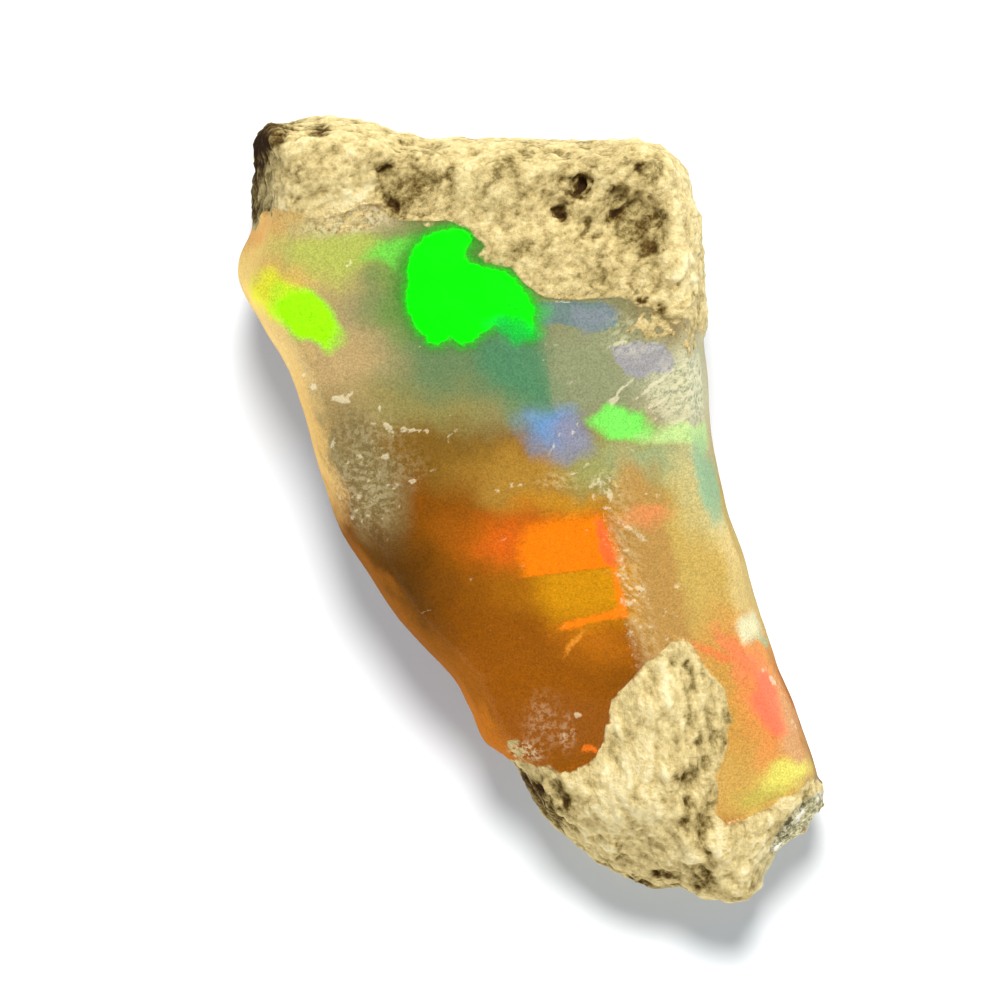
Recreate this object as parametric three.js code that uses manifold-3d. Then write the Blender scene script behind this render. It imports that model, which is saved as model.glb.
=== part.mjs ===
// A rough piece of opal, lying on its back. It is one natural stone: clear to milky opal with broken faces,
// and rough host rock still grown to it over the upper end and the lower end.
// Millimetres, +Z up. X and Y run across and along the stone, and z = 0 is the flat it rests on.
import * as THREE from "three";
import { ImprovedNoise } from "three/addons/math/ImprovedNoise.js";
import { mergeVertices } from "three/addons/utils/BufferGeometryUtils.js";
import Module from "manifold-3d";

const wasm = await Module();
wasm.setup();

// Driving dimensions
const LENGTH = 30; // along Y
const WIDTH = 22.2; // along X
const HEIGHT = 10.1; // from the resting flat to the window face at its middle
const CRUST = 0.4; // how far the host rock stands above the opal
const RUBBLE = 0.26; // how far its knobs stand in and out on the upper side
const WALL_RUBBLE = 0.34; // and on the walls
const RING_POINTS = 104; // round the stone where it is opal
const ROUGH_RING_POINTS = 150; // round the stone where it is host rock
const RELIEF_CELL = 0.44; // grid of the host rock's upper side
const REACH = 60; // size of a cutting block, larger than the stone

// The stone's outline from above, anticlockwise, chosen by eye on a stone of LENGTH by WIDTH
const OUTLINE = [
  [5.7, 13.4], [4.9, 13.9], [2.6, 14.0], [1.0, 13.9], [0.1, 14.1], [-1.5, 14.0], [-2.9, 13.9],
  [-4.9, 14.2], [-6.5, 14.6], [-7.4, 15.0], [-8.4, 14.8], [-9.7, 14.6], [-10.4, 14.0], [-10.5, 12.4],
  [-10.6, 10.8], [-10.9, 9.9], [-11.1, 9.2], [-10.7, 8.0], [-10.0, 6.6], [-9.3, 5.5], [-8.6, 3.5],
  [-8.1, 1.6], [-7.2, -0.8], [-6.2, -2.2], [-4.9, -4.2], [-2.6, -6.7], [-2.1, -7.8], [-1.4, -9.0],
  [-0.7, -9.4], [-0.1, -10.5], [0.8, -11.9], [2.6, -13.5], [4.0, -14.2], [5.5, -14.7], [7.5, -15.0],
  [8.3, -14.8], [8.8, -14.2], [9.1, -13.5], [9.6, -13.0], [10.7, -12.0], [11.1, -11.1], [11.0, -10.5],
  [10.1, -7.9], [9.4, -5.9], [8.6, -4.2], [7.6, -0.2], [6.9, 3.0], [6.8, 4.9], [6.7, 7.3], [6.4, 11.1],
];

// The side wall: height as a share of the stone's own height there, and how far it draws in
const WALL = [
  [-0.12, 2.2], [0, 1.6], [0.12, 0.9], [0.3, 0.25], [0.5, 0], [0.7, 0.03], [0.86, 0.25],
  [0.97, 0.65], [1.08, 1.3], [1.3, 2.8],
];
const SPINE = [new THREE.Vector2(-3, 8), new THREE.Vector2(5.5, -10.5)]; // the wall draws in towards this line
const MIDDLE = [0.4, 1.1]; // every point of the outline can be seen from here

// Broken faces on the upper side, each through a point with its rise along X and along Y
const TOP_FACES = [
  { through: [1, 5, HEIGHT], rise: [-0.03, -0.02] }, // window face
  { through: [2.7, 0.7, HEIGHT - 0.1], rise: [0.055, 0.25] }, // amber face, falling to the lower end
  { through: [2.85, 3.5, HEIGHT], rise: [-0.11, 0.084] }, // frosted face on the right
  { through: [2.7, 0.7, HEIGHT - 0.1], rise: [-0.2, 0.2] }, // gold face, right of the long ridge
  { through: [6, -12.4, 6.6], rise: [0.1, 0.5] }, // lower tip
];

// Broken faces on the sides. Opal breaks in shallow hollows like the inside of a shell, so each is a scoop:
// its deepest point, its outward direction there and its radius
const SCOOPS = [
  { deepest: [-9.95, 12.4, 8.0], out: [-0.96, 0.02, 0.26], radius: 12 }, // steep wall at the top left corner
  { deepest: [-10.2, 9.4, 9.2], out: [-0.6, 0.15, 0.78], radius: 8 }, // bevel of the left lobe
  { deepest: [-7.8, 2.1, 9.35], out: [-0.7, -0.22, 0.68], radius: 16 }, // pale bevel along the left rim
  { deepest: [1.2, -11.9, 5.4], out: [-0.7, -0.63, 0.33], radius: 9 }, // steep wall at the lower left
  { deepest: [9.95, -12.3, 4.3], out: [0.75, -0.62, 0.23], radius: 9 }, // break at the lower right corner
  { deepest: [-9.0, 7.6, 2.2], out: [-0.8, -0.39, -0.46], radius: 9 }, // undercut of the left lobe
  { deepest: [-6.85, 2.0, 2.4], out: [-0.86, -0.27, -0.43], radius: 11 }, // undercut of the left rim
  { deepest: [-3.6, -3.65, 2.4], out: [-0.72, -0.53, -0.45], radius: 14 }, // undercut of the amber edge
  { deepest: [5.8, -13.5, 1.3], out: [-0.2, -0.86, -0.47], radius: 8 }, // undercut of the lower tip
  { deepest: [8.7, -7.6, 1.8], out: [0.84, 0.32, -0.44], radius: 11 }, // undercut of the lower right side
  { deepest: [5.95, 2.0, 2.2], out: [0.9, 0.14, -0.41], radius: 12 }, // undercut of the right side
  { deepest: [5.5, 8.9, 1.8], out: [0.93, 0.08, -0.36], radius: 10 }, // undercut of the upper right side
  { deepest: [0.2, 12.8, 2.2], out: [0.02, 0.93, -0.37], radius: 14 }, // undercut of the upper end
  { deepest: [-7.4, 13.5, 2.0], out: [-0.1, 0.9, -0.42], radius: 8 }, // undercut of the top left corner
];

// The host rock's edge on the upper side, with corners beyond the outline
const UPPER_ROCK = [
  [-15, 10.6], [-10.6, 10.8], [-9.6, 11.3], [-9.0, 11.2], [-8.2, 10.9], [-7.2, 11.1], [-6.4, 11.5],
  [-5.8, 11.5], [-5.0, 10.9], [-3.1, 10.9], [-2.3, 10.5], [-1.7, 9.9], [-2.0, 9.6], [-1.7, 9.3],
  [-0.7, 9.1], [-0.2, 8.5], [0.5, 8.0], [1.7, 7.9], [3.4, 8.0], [4.1, 7.6], [4.6, 7.6], [5.2, 7.2],
  [5.9, 7.2], [6.7, 6.6], [12, 5.6], [12, 18], [-15, 18],
];
const LOWER_ROCK = [
  [5.7, -4.9], [5.1, -5.4], [4.3, -6.0], [3.8, -6.6], [3.1, -7.3], [2.9, -8.3], [2.8, -8.9],
  [2.5, -9.5], [2.1, -9.8], [1.1, -10.1], [0.5, -9.8], [-0.4, -9.6], [-5, -9.3], [-5, -18], [15, -18],
  [15, -9.4], [10.8, -10.4], [10.0, -10.9], [9.0, -11.5], [8.0, -12.0], [7.5, -12.1], [7.1, -11.6],
  [7.2, -10.4], [7.5, -9.2], [7.6, -8.0], [7.4, -6.9], [7.0, -6.4], [6.2, -5.3],
];
const PATCHES = [{ plan: UPPER_ROCK, middle: [-2, 14] }, { plan: LOWER_ROCK, middle: [5, -12] }];
const PATCH_OVERLAP = 1.002; // so that host rock runs a few hundredths of a millimetre into the opal

// Lumps and hollows of the host rock: place, radius and rise
const KNOBS = [
  [-7.6, 13.0, 2.3, 0.4], // block at the top left
  [-4.0, 12.3, 1.4, -0.5], // hollow beside it
  [-5.5, 11.9, 0.6, -0.45],
  [-1.1, 12.5, 1.6, 0.35],
  [-0.5, 10.0, 1.2, 0.35], // lip over the window face
  [1.9, 12.3, 0.6, -0.85],
  [1.2, 11.3, 0.55, -0.8],
  [2.2, 10.6, 0.55, -0.7],
  [3.2, 12.0, 0.5, -0.5],
  [4.2, 10.8, 1.6, -0.5], // wide shallow hollow
  [1.7, 9.2, 0.5, -0.4],
  [4.1, 8.3, 0.6, -0.45],
  [5.6, 8.6, 1.0, 0.15],
  [5.2, -7.6, 1.4, 0.2],
  [6.1, -10.9, 0.6, -0.5],
  [6.8, -12.2, 0.7, -0.45],
  [4.3, -10.6, 1.5, 0.25],
  [1.4, -10.9, 0.5, -0.5],
  [3.6, -13.2, 0.6, -0.4],
  [6.5, -14.2, 0.7, -0.8], // notch in the lower edge
  [9.0, -12.6, 1.2, 0.15],
];

const noise = new ImprovedNoise();

// Several sizes of smooth random lumps added up, about -1 to 1
function rubble(x, y, z, size) {
  const octaves = [1, 0.5, 0.27];
  return octaves.reduce(
    (sum, share) => sum + 1.2 * share * noise.noise(x / (size * share), y / (size * share), z / (size * share) + share),
    0,
  );
}

// The height of the opal's upper side
function topHeight(x, y) {
  const heights = TOP_FACES.map(({ through, rise }) => (
    through[2] + rise[0] * (x - through[0]) + rise[1] * (y - through[1])
  ));
  return Math.min(...heights);
}

// The host rock thins out to nothing where it frosts the opal at the upper left
function crustHeight(x, y) {
  const frosted = Math.exp(-((x + 7.4) ** 2) / 4 - ((y - 10.6) ** 2) / 0.7);
  const knobs = KNOBS.map(([kx, ky, radius, rise]) => (
    rise * Math.exp(-((x - kx) ** 2 + (y - ky) ** 2) / (radius * radius * 0.6))
  ));
  const base = (CRUST + RUBBLE * rubble(x, y, 0, 2.4)) * (1 - 0.85 * frosted);
  return Math.max(base + knobs.reduce((a, b) => a + b, 0), -0.5);
}

// A closed solid for joining and cutting, from a geometry whose doubled vertices are merged
function solid(geometry) {
  geometry.deleteAttribute("normal");
  geometry.deleteAttribute("uv");
  const merged = mergeVertices(geometry, 1e-4);
  return new wasm.Manifold(new wasm.Mesh({
    numProp: 3,
    vertProperties: new Float32Array(merged.attributes.position.array),
    triVerts: new Uint32Array(merged.index.array),
  }));
}

// Rings of points stacked up into a closed skin, with a fan of triangles at each end
function loft(count, rows, place) {
  const points = [];
  const faces = [];
  rows.forEach((row) => {
    for (let i = 0; i < count; i++) points.push(...place(i / count, row));
  });
  for (let r = 0; r + 1 < rows.length; r++) {
    for (let i = 0; i < count; i++) {
      const a = r * count + i;
      const b = r * count + ((i + 1) % count);
      faces.push(a, b, b + count, a, b + count, a + count);
    }
  }
  const last = (rows.length - 1) * count;
  const foot = points.length / 3;
  points.push(...MIDDLE, rows[0][0] * HEIGHT);
  points.push(...MIDDLE, rows.at(-1)[0] * HEIGHT);
  for (let i = 0; i < count; i++) {
    const next = (i + 1) % count;
    faces.push(foot, next, i);
    faces.push(foot + 1, last + i, last + next);
  }
  return new THREE.BufferGeometry()
    .setAttribute("position", new THREE.Float32BufferAttribute(points, 3))
    .setIndex(faces);
}

const rim = new THREE.CatmullRomCurve3(
  OUTLINE.map(([x, y]) => new THREE.Vector3(x, y, 0)),
  true,
  "centripetal",
);
rim.arcLengthDivisions = 1200;

// A point of the side wall: t runs once round the outline
function wallPoint(t, [share, inset]) {
  const onRim = rim.getPointAt(t);
  const from = new THREE.Vector2(onRim.x, onRim.y);
  const along = SPINE[1].clone().sub(SPINE[0]);
  const s = THREE.MathUtils.clamp(from.clone().sub(SPINE[0]).dot(along) / along.lengthSq(), 0, 1);
  const inward = SPINE[0].clone().addScaledVector(along, s).sub(from).normalize();
  from.addScaledVector(inward, inset);
  return new THREE.Vector3(from.x, from.y, share * topHeight(onRim.x, onRim.y));
}

// The middle of the ball that would fill a scoop
function ballCentre({ deepest, out, radius }) {
  const outward = new THREE.Vector3(...out).normalize();
  return new THREE.Vector3(...deepest).addScaledVector(outward, radius);
}

// A point of the same wall where it is host rock: held behind the scoops, then knobbly
function rockWallPoint(t, row) {
  const point = wallPoint(t, row);
  SCOOPS.forEach((scoop) => {
    const centre = ballCentre(scoop);
    const fromCentre = point.clone().sub(centre);
    if (fromCentre.length() < scoop.radius) point.copy(centre).add(fromCentre.setLength(scoop.radius));
  });
  const outward = new THREE.Vector3(point.x - MIDDLE[0], point.y - MIDDLE[1], 0).normalize();
  const knobbly = WALL_RUBBLE * (0.2 + rubble(point.x, point.y, point.z, 2.6));
  return point.addScaledVector(outward, knobbly);
}

// The wall's rows with one more between each two, for the knobs of the host rock
function closerRows() {
  return WALL.flatMap((row, i) => {
    const above = WALL[i + 1];
    return above ? [row, [(row[0] + above[0]) / 2, (row[1] + above[1]) / 2]] : [row];
  });
}

// The ball that a scoop is cut with
function ball(scoop) {
  const geometry = new THREE.IcosahedronGeometry(scoop.radius, 9);
  geometry.translate(...ballCentre(scoop));
  return solid(geometry);
}

// A large block that lies in front of a flat face
function beforeFace(through, out) {
  const block = new THREE.BoxGeometry(REACH, REACH, REACH / 2);
  block.translate(0, 0, REACH / 4);
  const outward = new THREE.Vector3(...out).normalize();
  block.applyQuaternion(new THREE.Quaternion().setFromUnitVectors(new THREE.Vector3(0, 0, 1), outward));
  block.translate(...through);
  return solid(block);
}

// The opal with its broken faces, before the host rock
function brokenOpal() {
  let body = solid(loft(RING_POINTS, WALL, (t, row) => wallPoint(t, row).toArray()));
  body = body.subtract(beforeFace([0, 0, 0], [0, 0, -1]));
  TOP_FACES.forEach(({ through, rise }) => {
    body = body.subtract(beforeFace(through, [-rise[0], -rise[1], 1]));
  });
  SCOOPS.forEach((scoop) => {
    body = body.subtract(ball(scoop));
  });
  return body;
}

// A block from the resting flat up to the host rock's uneven upper side
function reliefBlock() {
  const columns = Math.round((WIDTH + 3) / RELIEF_CELL);
  const rows = Math.round((LENGTH + 3) / RELIEF_CELL);
  const block = new THREE.BoxGeometry(WIDTH + 3, LENGTH + 3, 1, columns, rows, 1);
  const place = block.attributes.position;
  for (let i = 0; i < place.count; i++) {
    const x = place.getX(i);
    const y = place.getY(i);
    place.setZ(i, place.getZ(i) < 0 ? 0 : topHeight(x, y) + crustHeight(x, y));
  }
  return solid(block);
}

// The host rock's knobbly walls with its uneven upper side
function hostRock() {
  const skin = loft(ROUGH_RING_POINTS, closerRows(), (t, row) => rockWallPoint(t, row).toArray());
  return solid(skin).intersect(reliefBlock());
}

// A column taller than the stone on one patch of host rock, grown a little about the patch's middle
function column({ plan, middle }, growth) {
  const shape = new THREE.Shape(plan.map(([x, y]) => new THREE.Vector2(x, y)));
  const geometry = new THREE.ExtrudeGeometry(shape, { depth: REACH / 2, bevelEnabled: false });
  geometry.translate(-middle[0], -middle[1], -REACH / 4);
  geometry.scale(growth, growth, 1);
  geometry.translate(middle[0], middle[1], 0);
  return solid(geometry);
}

// The whole stone: inside each patch it is host rock, and elsewhere broken opal
function roughOpal() {
  const rock = hostRock();
  let whole = brokenOpal();
  PATCHES.forEach((patch) => {
    whole = whole.subtract(column(patch, 1));
  });
  PATCHES.forEach((patch) => {
    whole = whole.add(rock.intersect(column(patch, PATCH_OVERLAP)));
  });
  const made = whole.getMesh();
  return new THREE.BufferGeometry()
    .setAttribute("position", new THREE.BufferAttribute(made.vertProperties, made.numProp))
    .setIndex(new THREE.BufferAttribute(made.triVerts, 1));
}

const geometry = roughOpal();
geometry.computeVertexNormals();
const finish = new THREE.MeshStandardMaterial({ color: 0xa2783a, roughness: 0.35, metalness: 0, flatShading: true });
const stone = new THREE.Mesh(geometry, finish);
stone.name = "rough_opal";

const group = new THREE.Group();
group.add(stone);

export default group;
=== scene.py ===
# %% [markdown]
# # A rough opal with its host rock
#
# This script dresses one natural stone: a broken piece of precious opal, amber to milky, that still
# has its gritty volcanic host rock over both ends. The stone's solid comes from the frame at its real
# size. Here it gets its fine surface and its one material, and a camera and lights that show it from
# straight above.

# %% Load the frame
import math
import random

import bmesh
import bpy
import numpy as np
from mathutils import Matrix, Vector
from mathutils import noise
from mathutils.bvhtree import BVHTree


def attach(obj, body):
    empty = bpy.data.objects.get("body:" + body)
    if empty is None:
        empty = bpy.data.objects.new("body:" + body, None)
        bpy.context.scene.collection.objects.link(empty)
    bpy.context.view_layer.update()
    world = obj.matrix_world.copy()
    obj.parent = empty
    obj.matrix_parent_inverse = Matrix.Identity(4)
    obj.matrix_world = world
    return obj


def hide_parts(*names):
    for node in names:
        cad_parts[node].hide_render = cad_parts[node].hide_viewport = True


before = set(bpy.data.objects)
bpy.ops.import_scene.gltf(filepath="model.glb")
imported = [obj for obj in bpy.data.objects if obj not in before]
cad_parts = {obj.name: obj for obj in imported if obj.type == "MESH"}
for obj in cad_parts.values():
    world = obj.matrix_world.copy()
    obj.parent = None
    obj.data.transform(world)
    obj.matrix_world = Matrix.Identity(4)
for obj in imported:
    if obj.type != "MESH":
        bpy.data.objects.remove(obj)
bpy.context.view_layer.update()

MM = 0.001  # one millimetre in metres

# %% [markdown]
# ## Where each thing is
#
# Everything that follows needs to know two things about a point of the surface: how far it is from
# the edge of the host rock, and how far it is below the upper faces. The edge is drawn as a closed
# line in plan, and the upper faces are planes, both as in the solid. A signed distance, above zero
# inside the line, is handier than a yes or no: the same number can move the surface, fade a colour
# and be cut off sharply in the material.

# %% Host rock lines
UPPER_ROCK = [
    (-15, 10.6), (-10.6, 10.8), (-9.6, 11.3), (-9.0, 11.2), (-8.2, 10.9), (-7.2, 11.1), (-6.4, 11.5),
    (-5.8, 11.5), (-5.0, 10.9), (-3.1, 10.9), (-2.3, 10.5), (-1.7, 9.9), (-2.0, 9.6), (-1.7, 9.3),
    (-0.7, 9.1), (-0.2, 8.5), (0.5, 8.0), (1.7, 7.9), (3.4, 8.0), (4.1, 7.6), (4.6, 7.6), (5.2, 7.2),
    (5.9, 7.2), (6.7, 6.6), (12, 5.6), (12, 18), (-15, 18),
]
LOWER_ROCK = [
    (5.7, -4.9), (5.1, -5.4), (4.3, -6.0), (3.8, -6.6), (3.1, -7.3), (2.9, -8.3), (2.8, -8.9),
    (2.5, -9.5), (2.1, -9.8), (1.1, -10.1), (0.5, -9.8), (-0.4, -9.6), (-5, -9.3), (-5, -18), (15, -18),
    (15, -9.4), (10.8, -10.4), (10.0, -10.9), (9.0, -11.5), (8.0, -12.0), (7.5, -12.1), (7.1, -11.6),
    (7.2, -10.4), (7.5, -9.2), (7.6, -8.0), (7.4, -6.9), (7.0, -6.4), (6.2, -5.3),
]


def distance_inside(points, line):
    """Distance in mm from each point to a closed line in plan, above zero inside it."""
    corners = np.array(line, dtype=float)
    nearest = np.full(len(points), np.inf)
    inside = np.zeros(len(points), dtype=bool)
    for a, b in zip(corners, np.roll(corners, -1, axis=0)):
        along = b - a
        share = np.clip(((points - a) @ along) / (along @ along), 0, 1)
        nearest = np.minimum(nearest, np.linalg.norm(points - a - share[:, None] * along, axis=1))
        crosses = (a[1] > points[:, 1]) != (b[1] > points[:, 1])
        rise = along[1] or 1.0  # a level side crosses nothing, so its rise is never used
        at_x = a[0] + (points[:, 1] - a[1]) * along[0] / rise
        inside ^= crosses & (points[:, 0] < at_x)
    return np.where(inside, nearest, -nearest)


print("corners of the host rock's edge:", len(UPPER_ROCK), "above and", len(LOWER_ROCK), "below")

# %% Upper faces
WINDOW, AMBER, FROSTED, GOLD, TIP = range(5)  # the rows of the table below
TOP_FACES = [  # a point in mm, and the rise along X and along Y
    ((1, 5, 10.1), (-0.03, -0.02)),
    ((2.7, 0.7, 10.0), (0.055, 0.25)),
    ((2.85, 3.5, 10.1), (-0.11, 0.084)),
    ((2.7, 0.7, 10.0), (-0.2, 0.2)),
    ((6, -12.4, 6.6), (0.1, 0.5)),
]


def face_heights(points):
    """Height in mm of each upper face, carried on without end, over each point."""
    return [z + rx * (points[:, 0] - x) + ry * (points[:, 1] - y) for (x, y, z), (rx, ry) in TOP_FACES]


def top_height(points):
    return np.min(face_heights(points), axis=0)


def smoothstep(low, high, values):
    """From 0 at low to 1 at high, with soft ends. Low may be the larger of the two."""
    t = np.clip((values - low) / (high - low), 0, 1)
    return t * t * (3 - 2 * t)


print("height over the origin in mm:", round(float(top_height(np.zeros((1, 2)))[0]), 1))

# %% [markdown]
# ## A finer skin
#
# On the real stone the forms go from the whole outline down to grains a tenth of a millimetre across.
# The solid holds the large ones. To carve the small ones, the surface needs even, small faces.
# Subdividing would keep the long thin triangles of the solid, so a voxel remesh is used: it lays a
# new skin of nearly square faces over the stone. It works in millimetres, because the remesh takes no
# voxel under a tenth of a unit. The upper side shows the most, so its faces are then cut in four.

# %% Mesh helpers
def read_points(mesh):
    values = np.empty(len(mesh.vertices) * 3)
    mesh.vertices.foreach_get("co", values)
    return values.reshape(-1, 3)


def read_normals(mesh):
    values = np.empty(len(mesh.vertices) * 3, dtype=np.float32)
    mesh.vertex_normals.foreach_get("vector", values)
    return values.reshape(-1, 3).astype(float)


def write_points(mesh, points):
    mesh.vertices.foreach_set("co", points.reshape(-1))
    mesh.update()


def apply_modifiers(piece):
    depsgraph = bpy.context.evaluated_depsgraph_get()
    piece.data = bpy.data.meshes.new_from_object(piece.evaluated_get(depsgraph))
    piece.modifiers.clear()


def relax(piece, rounds):
    smooth = piece.modifiers.new("relax", "SMOOTH")
    smooth.factor = 0.5
    smooth.iterations = rounds
    apply_modifiers(piece)


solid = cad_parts["rough_opal"]
print("solid:", len(solid.data.vertices), "points")

# %% Lay the skin
VOXEL = 0.2  # mm, the size of a face on the walls; on the upper side it is half of that
WELD = 0.0005  # mm: points of the solid closer than this are one
UPPER_SIDE = 1.3  # mm: how far below the upper faces the small faces go
LOOKS_UP = 0.05  # the least upward part of the normal of a point on the upper side
STEPS_OUT, CUTS_OUT = 2, 16  # rounds of relaxing against the voxels' steps, and the marks of the cuts


def cut_upper_side_finer(mesh):
    points, normals = read_points(mesh), read_normals(mesh)
    upper = (top_height(points) - points[:, 2] < UPPER_SIDE) & (normals[:, 2] > LOOKS_UP)
    work = bmesh.new()
    work.from_mesh(mesh)
    edges = [e for e in work.edges if upper[e.verts[0].index] and upper[e.verts[1].index]]
    bmesh.ops.subdivide_edges(work, edges=edges, cuts=1, use_grid_fill=True)
    work.to_mesh(mesh)
    work.free()


def fine_skin(source):
    """A copy of the solid in millimetres, with small even faces."""
    mesh = source.data.copy()
    mesh.transform(Matrix.Scale(1 / MM, 4))
    piece = bpy.data.objects.new("opal_skin", mesh)
    bpy.context.scene.collection.objects.link(piece)
    weld = piece.modifiers.new("weld", "WELD")
    weld.merge_threshold = WELD
    remesh = piece.modifiers.new("even faces", "REMESH")
    remesh.mode = "VOXEL"
    remesh.voxel_size = VOXEL
    relax(piece, STEPS_OUT)
    cut_upper_side_finer(piece.data)
    relax(piece, CUTS_OUT)
    return piece


stone = fine_skin(solid)
triangles = sum(len(p.vertices) - 2 for p in stone.data.polygons)
print("skin:", len(stone.data.vertices), "points", triangles, "triangles")

# %% [markdown]
# ## Back on the broken faces
#
# The remesh and the relaxing round every edge a little. Broken opal is crisp like glass, so each
# point of the opal goes back to the nearest place on the solid. Host rock is soft and gritty, and is
# left rounded. Where the upper faces meet, the real edges are worn, so there a smooth minimum of the
# faces takes the place of the sharp one. The edge between the amber face and the gold one is nearly
# crisp.
#
# Places on the stone are marked by soft ovals in plan. One function joins a table of them to a field.

# %% Ovals in plan
OVAL_STARTS, OVAL_FULL = 1.35, 0.35  # where an oval starts and is full, as shares of its half length
LEAN_FULL = 0.55  # how much further out a leaning one is full


def ovals(points, table, join=np.maximum, lean=0.0):
    """A table of soft ovals in plan, each as tall as its last number, joined to one field.

    With a lean, an oval is full where its length starts and falls off towards the other end."""
    tallest = np.zeros(len(points))
    for x, y, length, width, turn, tall in table:
        c, s = math.cos(math.radians(turn)), math.sin(math.radians(turn))
        dx, dy = points[:, 0] - x, points[:, 1] - y
        along, across = (c * dx + s * dy) / length, (c * dy - s * dx) / width
        falls = 1 - lean * np.clip((1 + along) / 2, 0, 1)
        shows = smoothstep(OVAL_STARTS, OVAL_FULL + LEAN_FULL * lean, np.hypot(along, across))
        tallest = join(tallest, tall * falls * shows)
    return tallest


SMOOTH_EDGES = [  # x, y, half length, half width in mm, turn in degrees, how much
    (-10.0, 9.2, 2.0, 2.4, 0, 0.9),
    (-4.2, -4.6, 5.5, 1.1, -49, 0.8),
]
print("places where the opal's edge stays smooth:", len(SMOOTH_EDGES))

# %% Sharpen the opal, ease the worn edges
WORN = 0.3  # mm of height difference over which the worn edges are rounded
CRISP = 0.04  # the same for the edge between amber and gold
EDGE_BLUR = 0.1  # mm to each side of the host rock's edge, over which the moves of the opal fade
FADE_DOWN = {"low": 1.2, "high": 0.3}  # mm below the upper faces: where the easing ends, and is full


def on_solid(points, where):
    """The points moved back to the solid's surface, by how much the where field says."""
    corners = [v.co / MM for v in solid.data.vertices]
    tree = BVHTree.FromPolygons(corners, [tuple(p.vertices) for p in solid.data.polygons])
    moved = points.copy()
    for i in np.flatnonzero(where > 0.01):
        place = tree.find_nearest(Vector(points[i]))[0]
        moved[i] += where[i] * (np.array(place) - points[i])
    return moved


def smooth_min(a, b, reach):
    near = np.maximum(reach - np.abs(a - b), 0)
    return np.minimum(a, b) - near * near / (4 * reach)


points = read_points(stone.data)
rock = np.maximum(distance_inside(points[:, :2], UPPER_ROCK), distance_inside(points[:, :2], LOWER_ROCK))
is_opal = smoothstep(EDGE_BLUR, -EDGE_BLUR, rock)
points = on_solid(points, is_opal * (1 - ovals(points, SMOOTH_EDGES)))
heights = face_heights(points)
eased = smooth_min(heights[AMBER], heights[GOLD], CRISP)
for face in (WINDOW, FROSTED, TIP):
    eased = smooth_min(eased, heights[face], WORN)
depth = top_height(points) - points[:, 2]
points[:, 2] += (eased - np.min(heights, axis=0)) * is_opal * smoothstep(values=depth, **FADE_DOWN)
write_points(stone.data, points)
print("share that is host rock:", round(float(np.mean(rock > 0)), 2))
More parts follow.
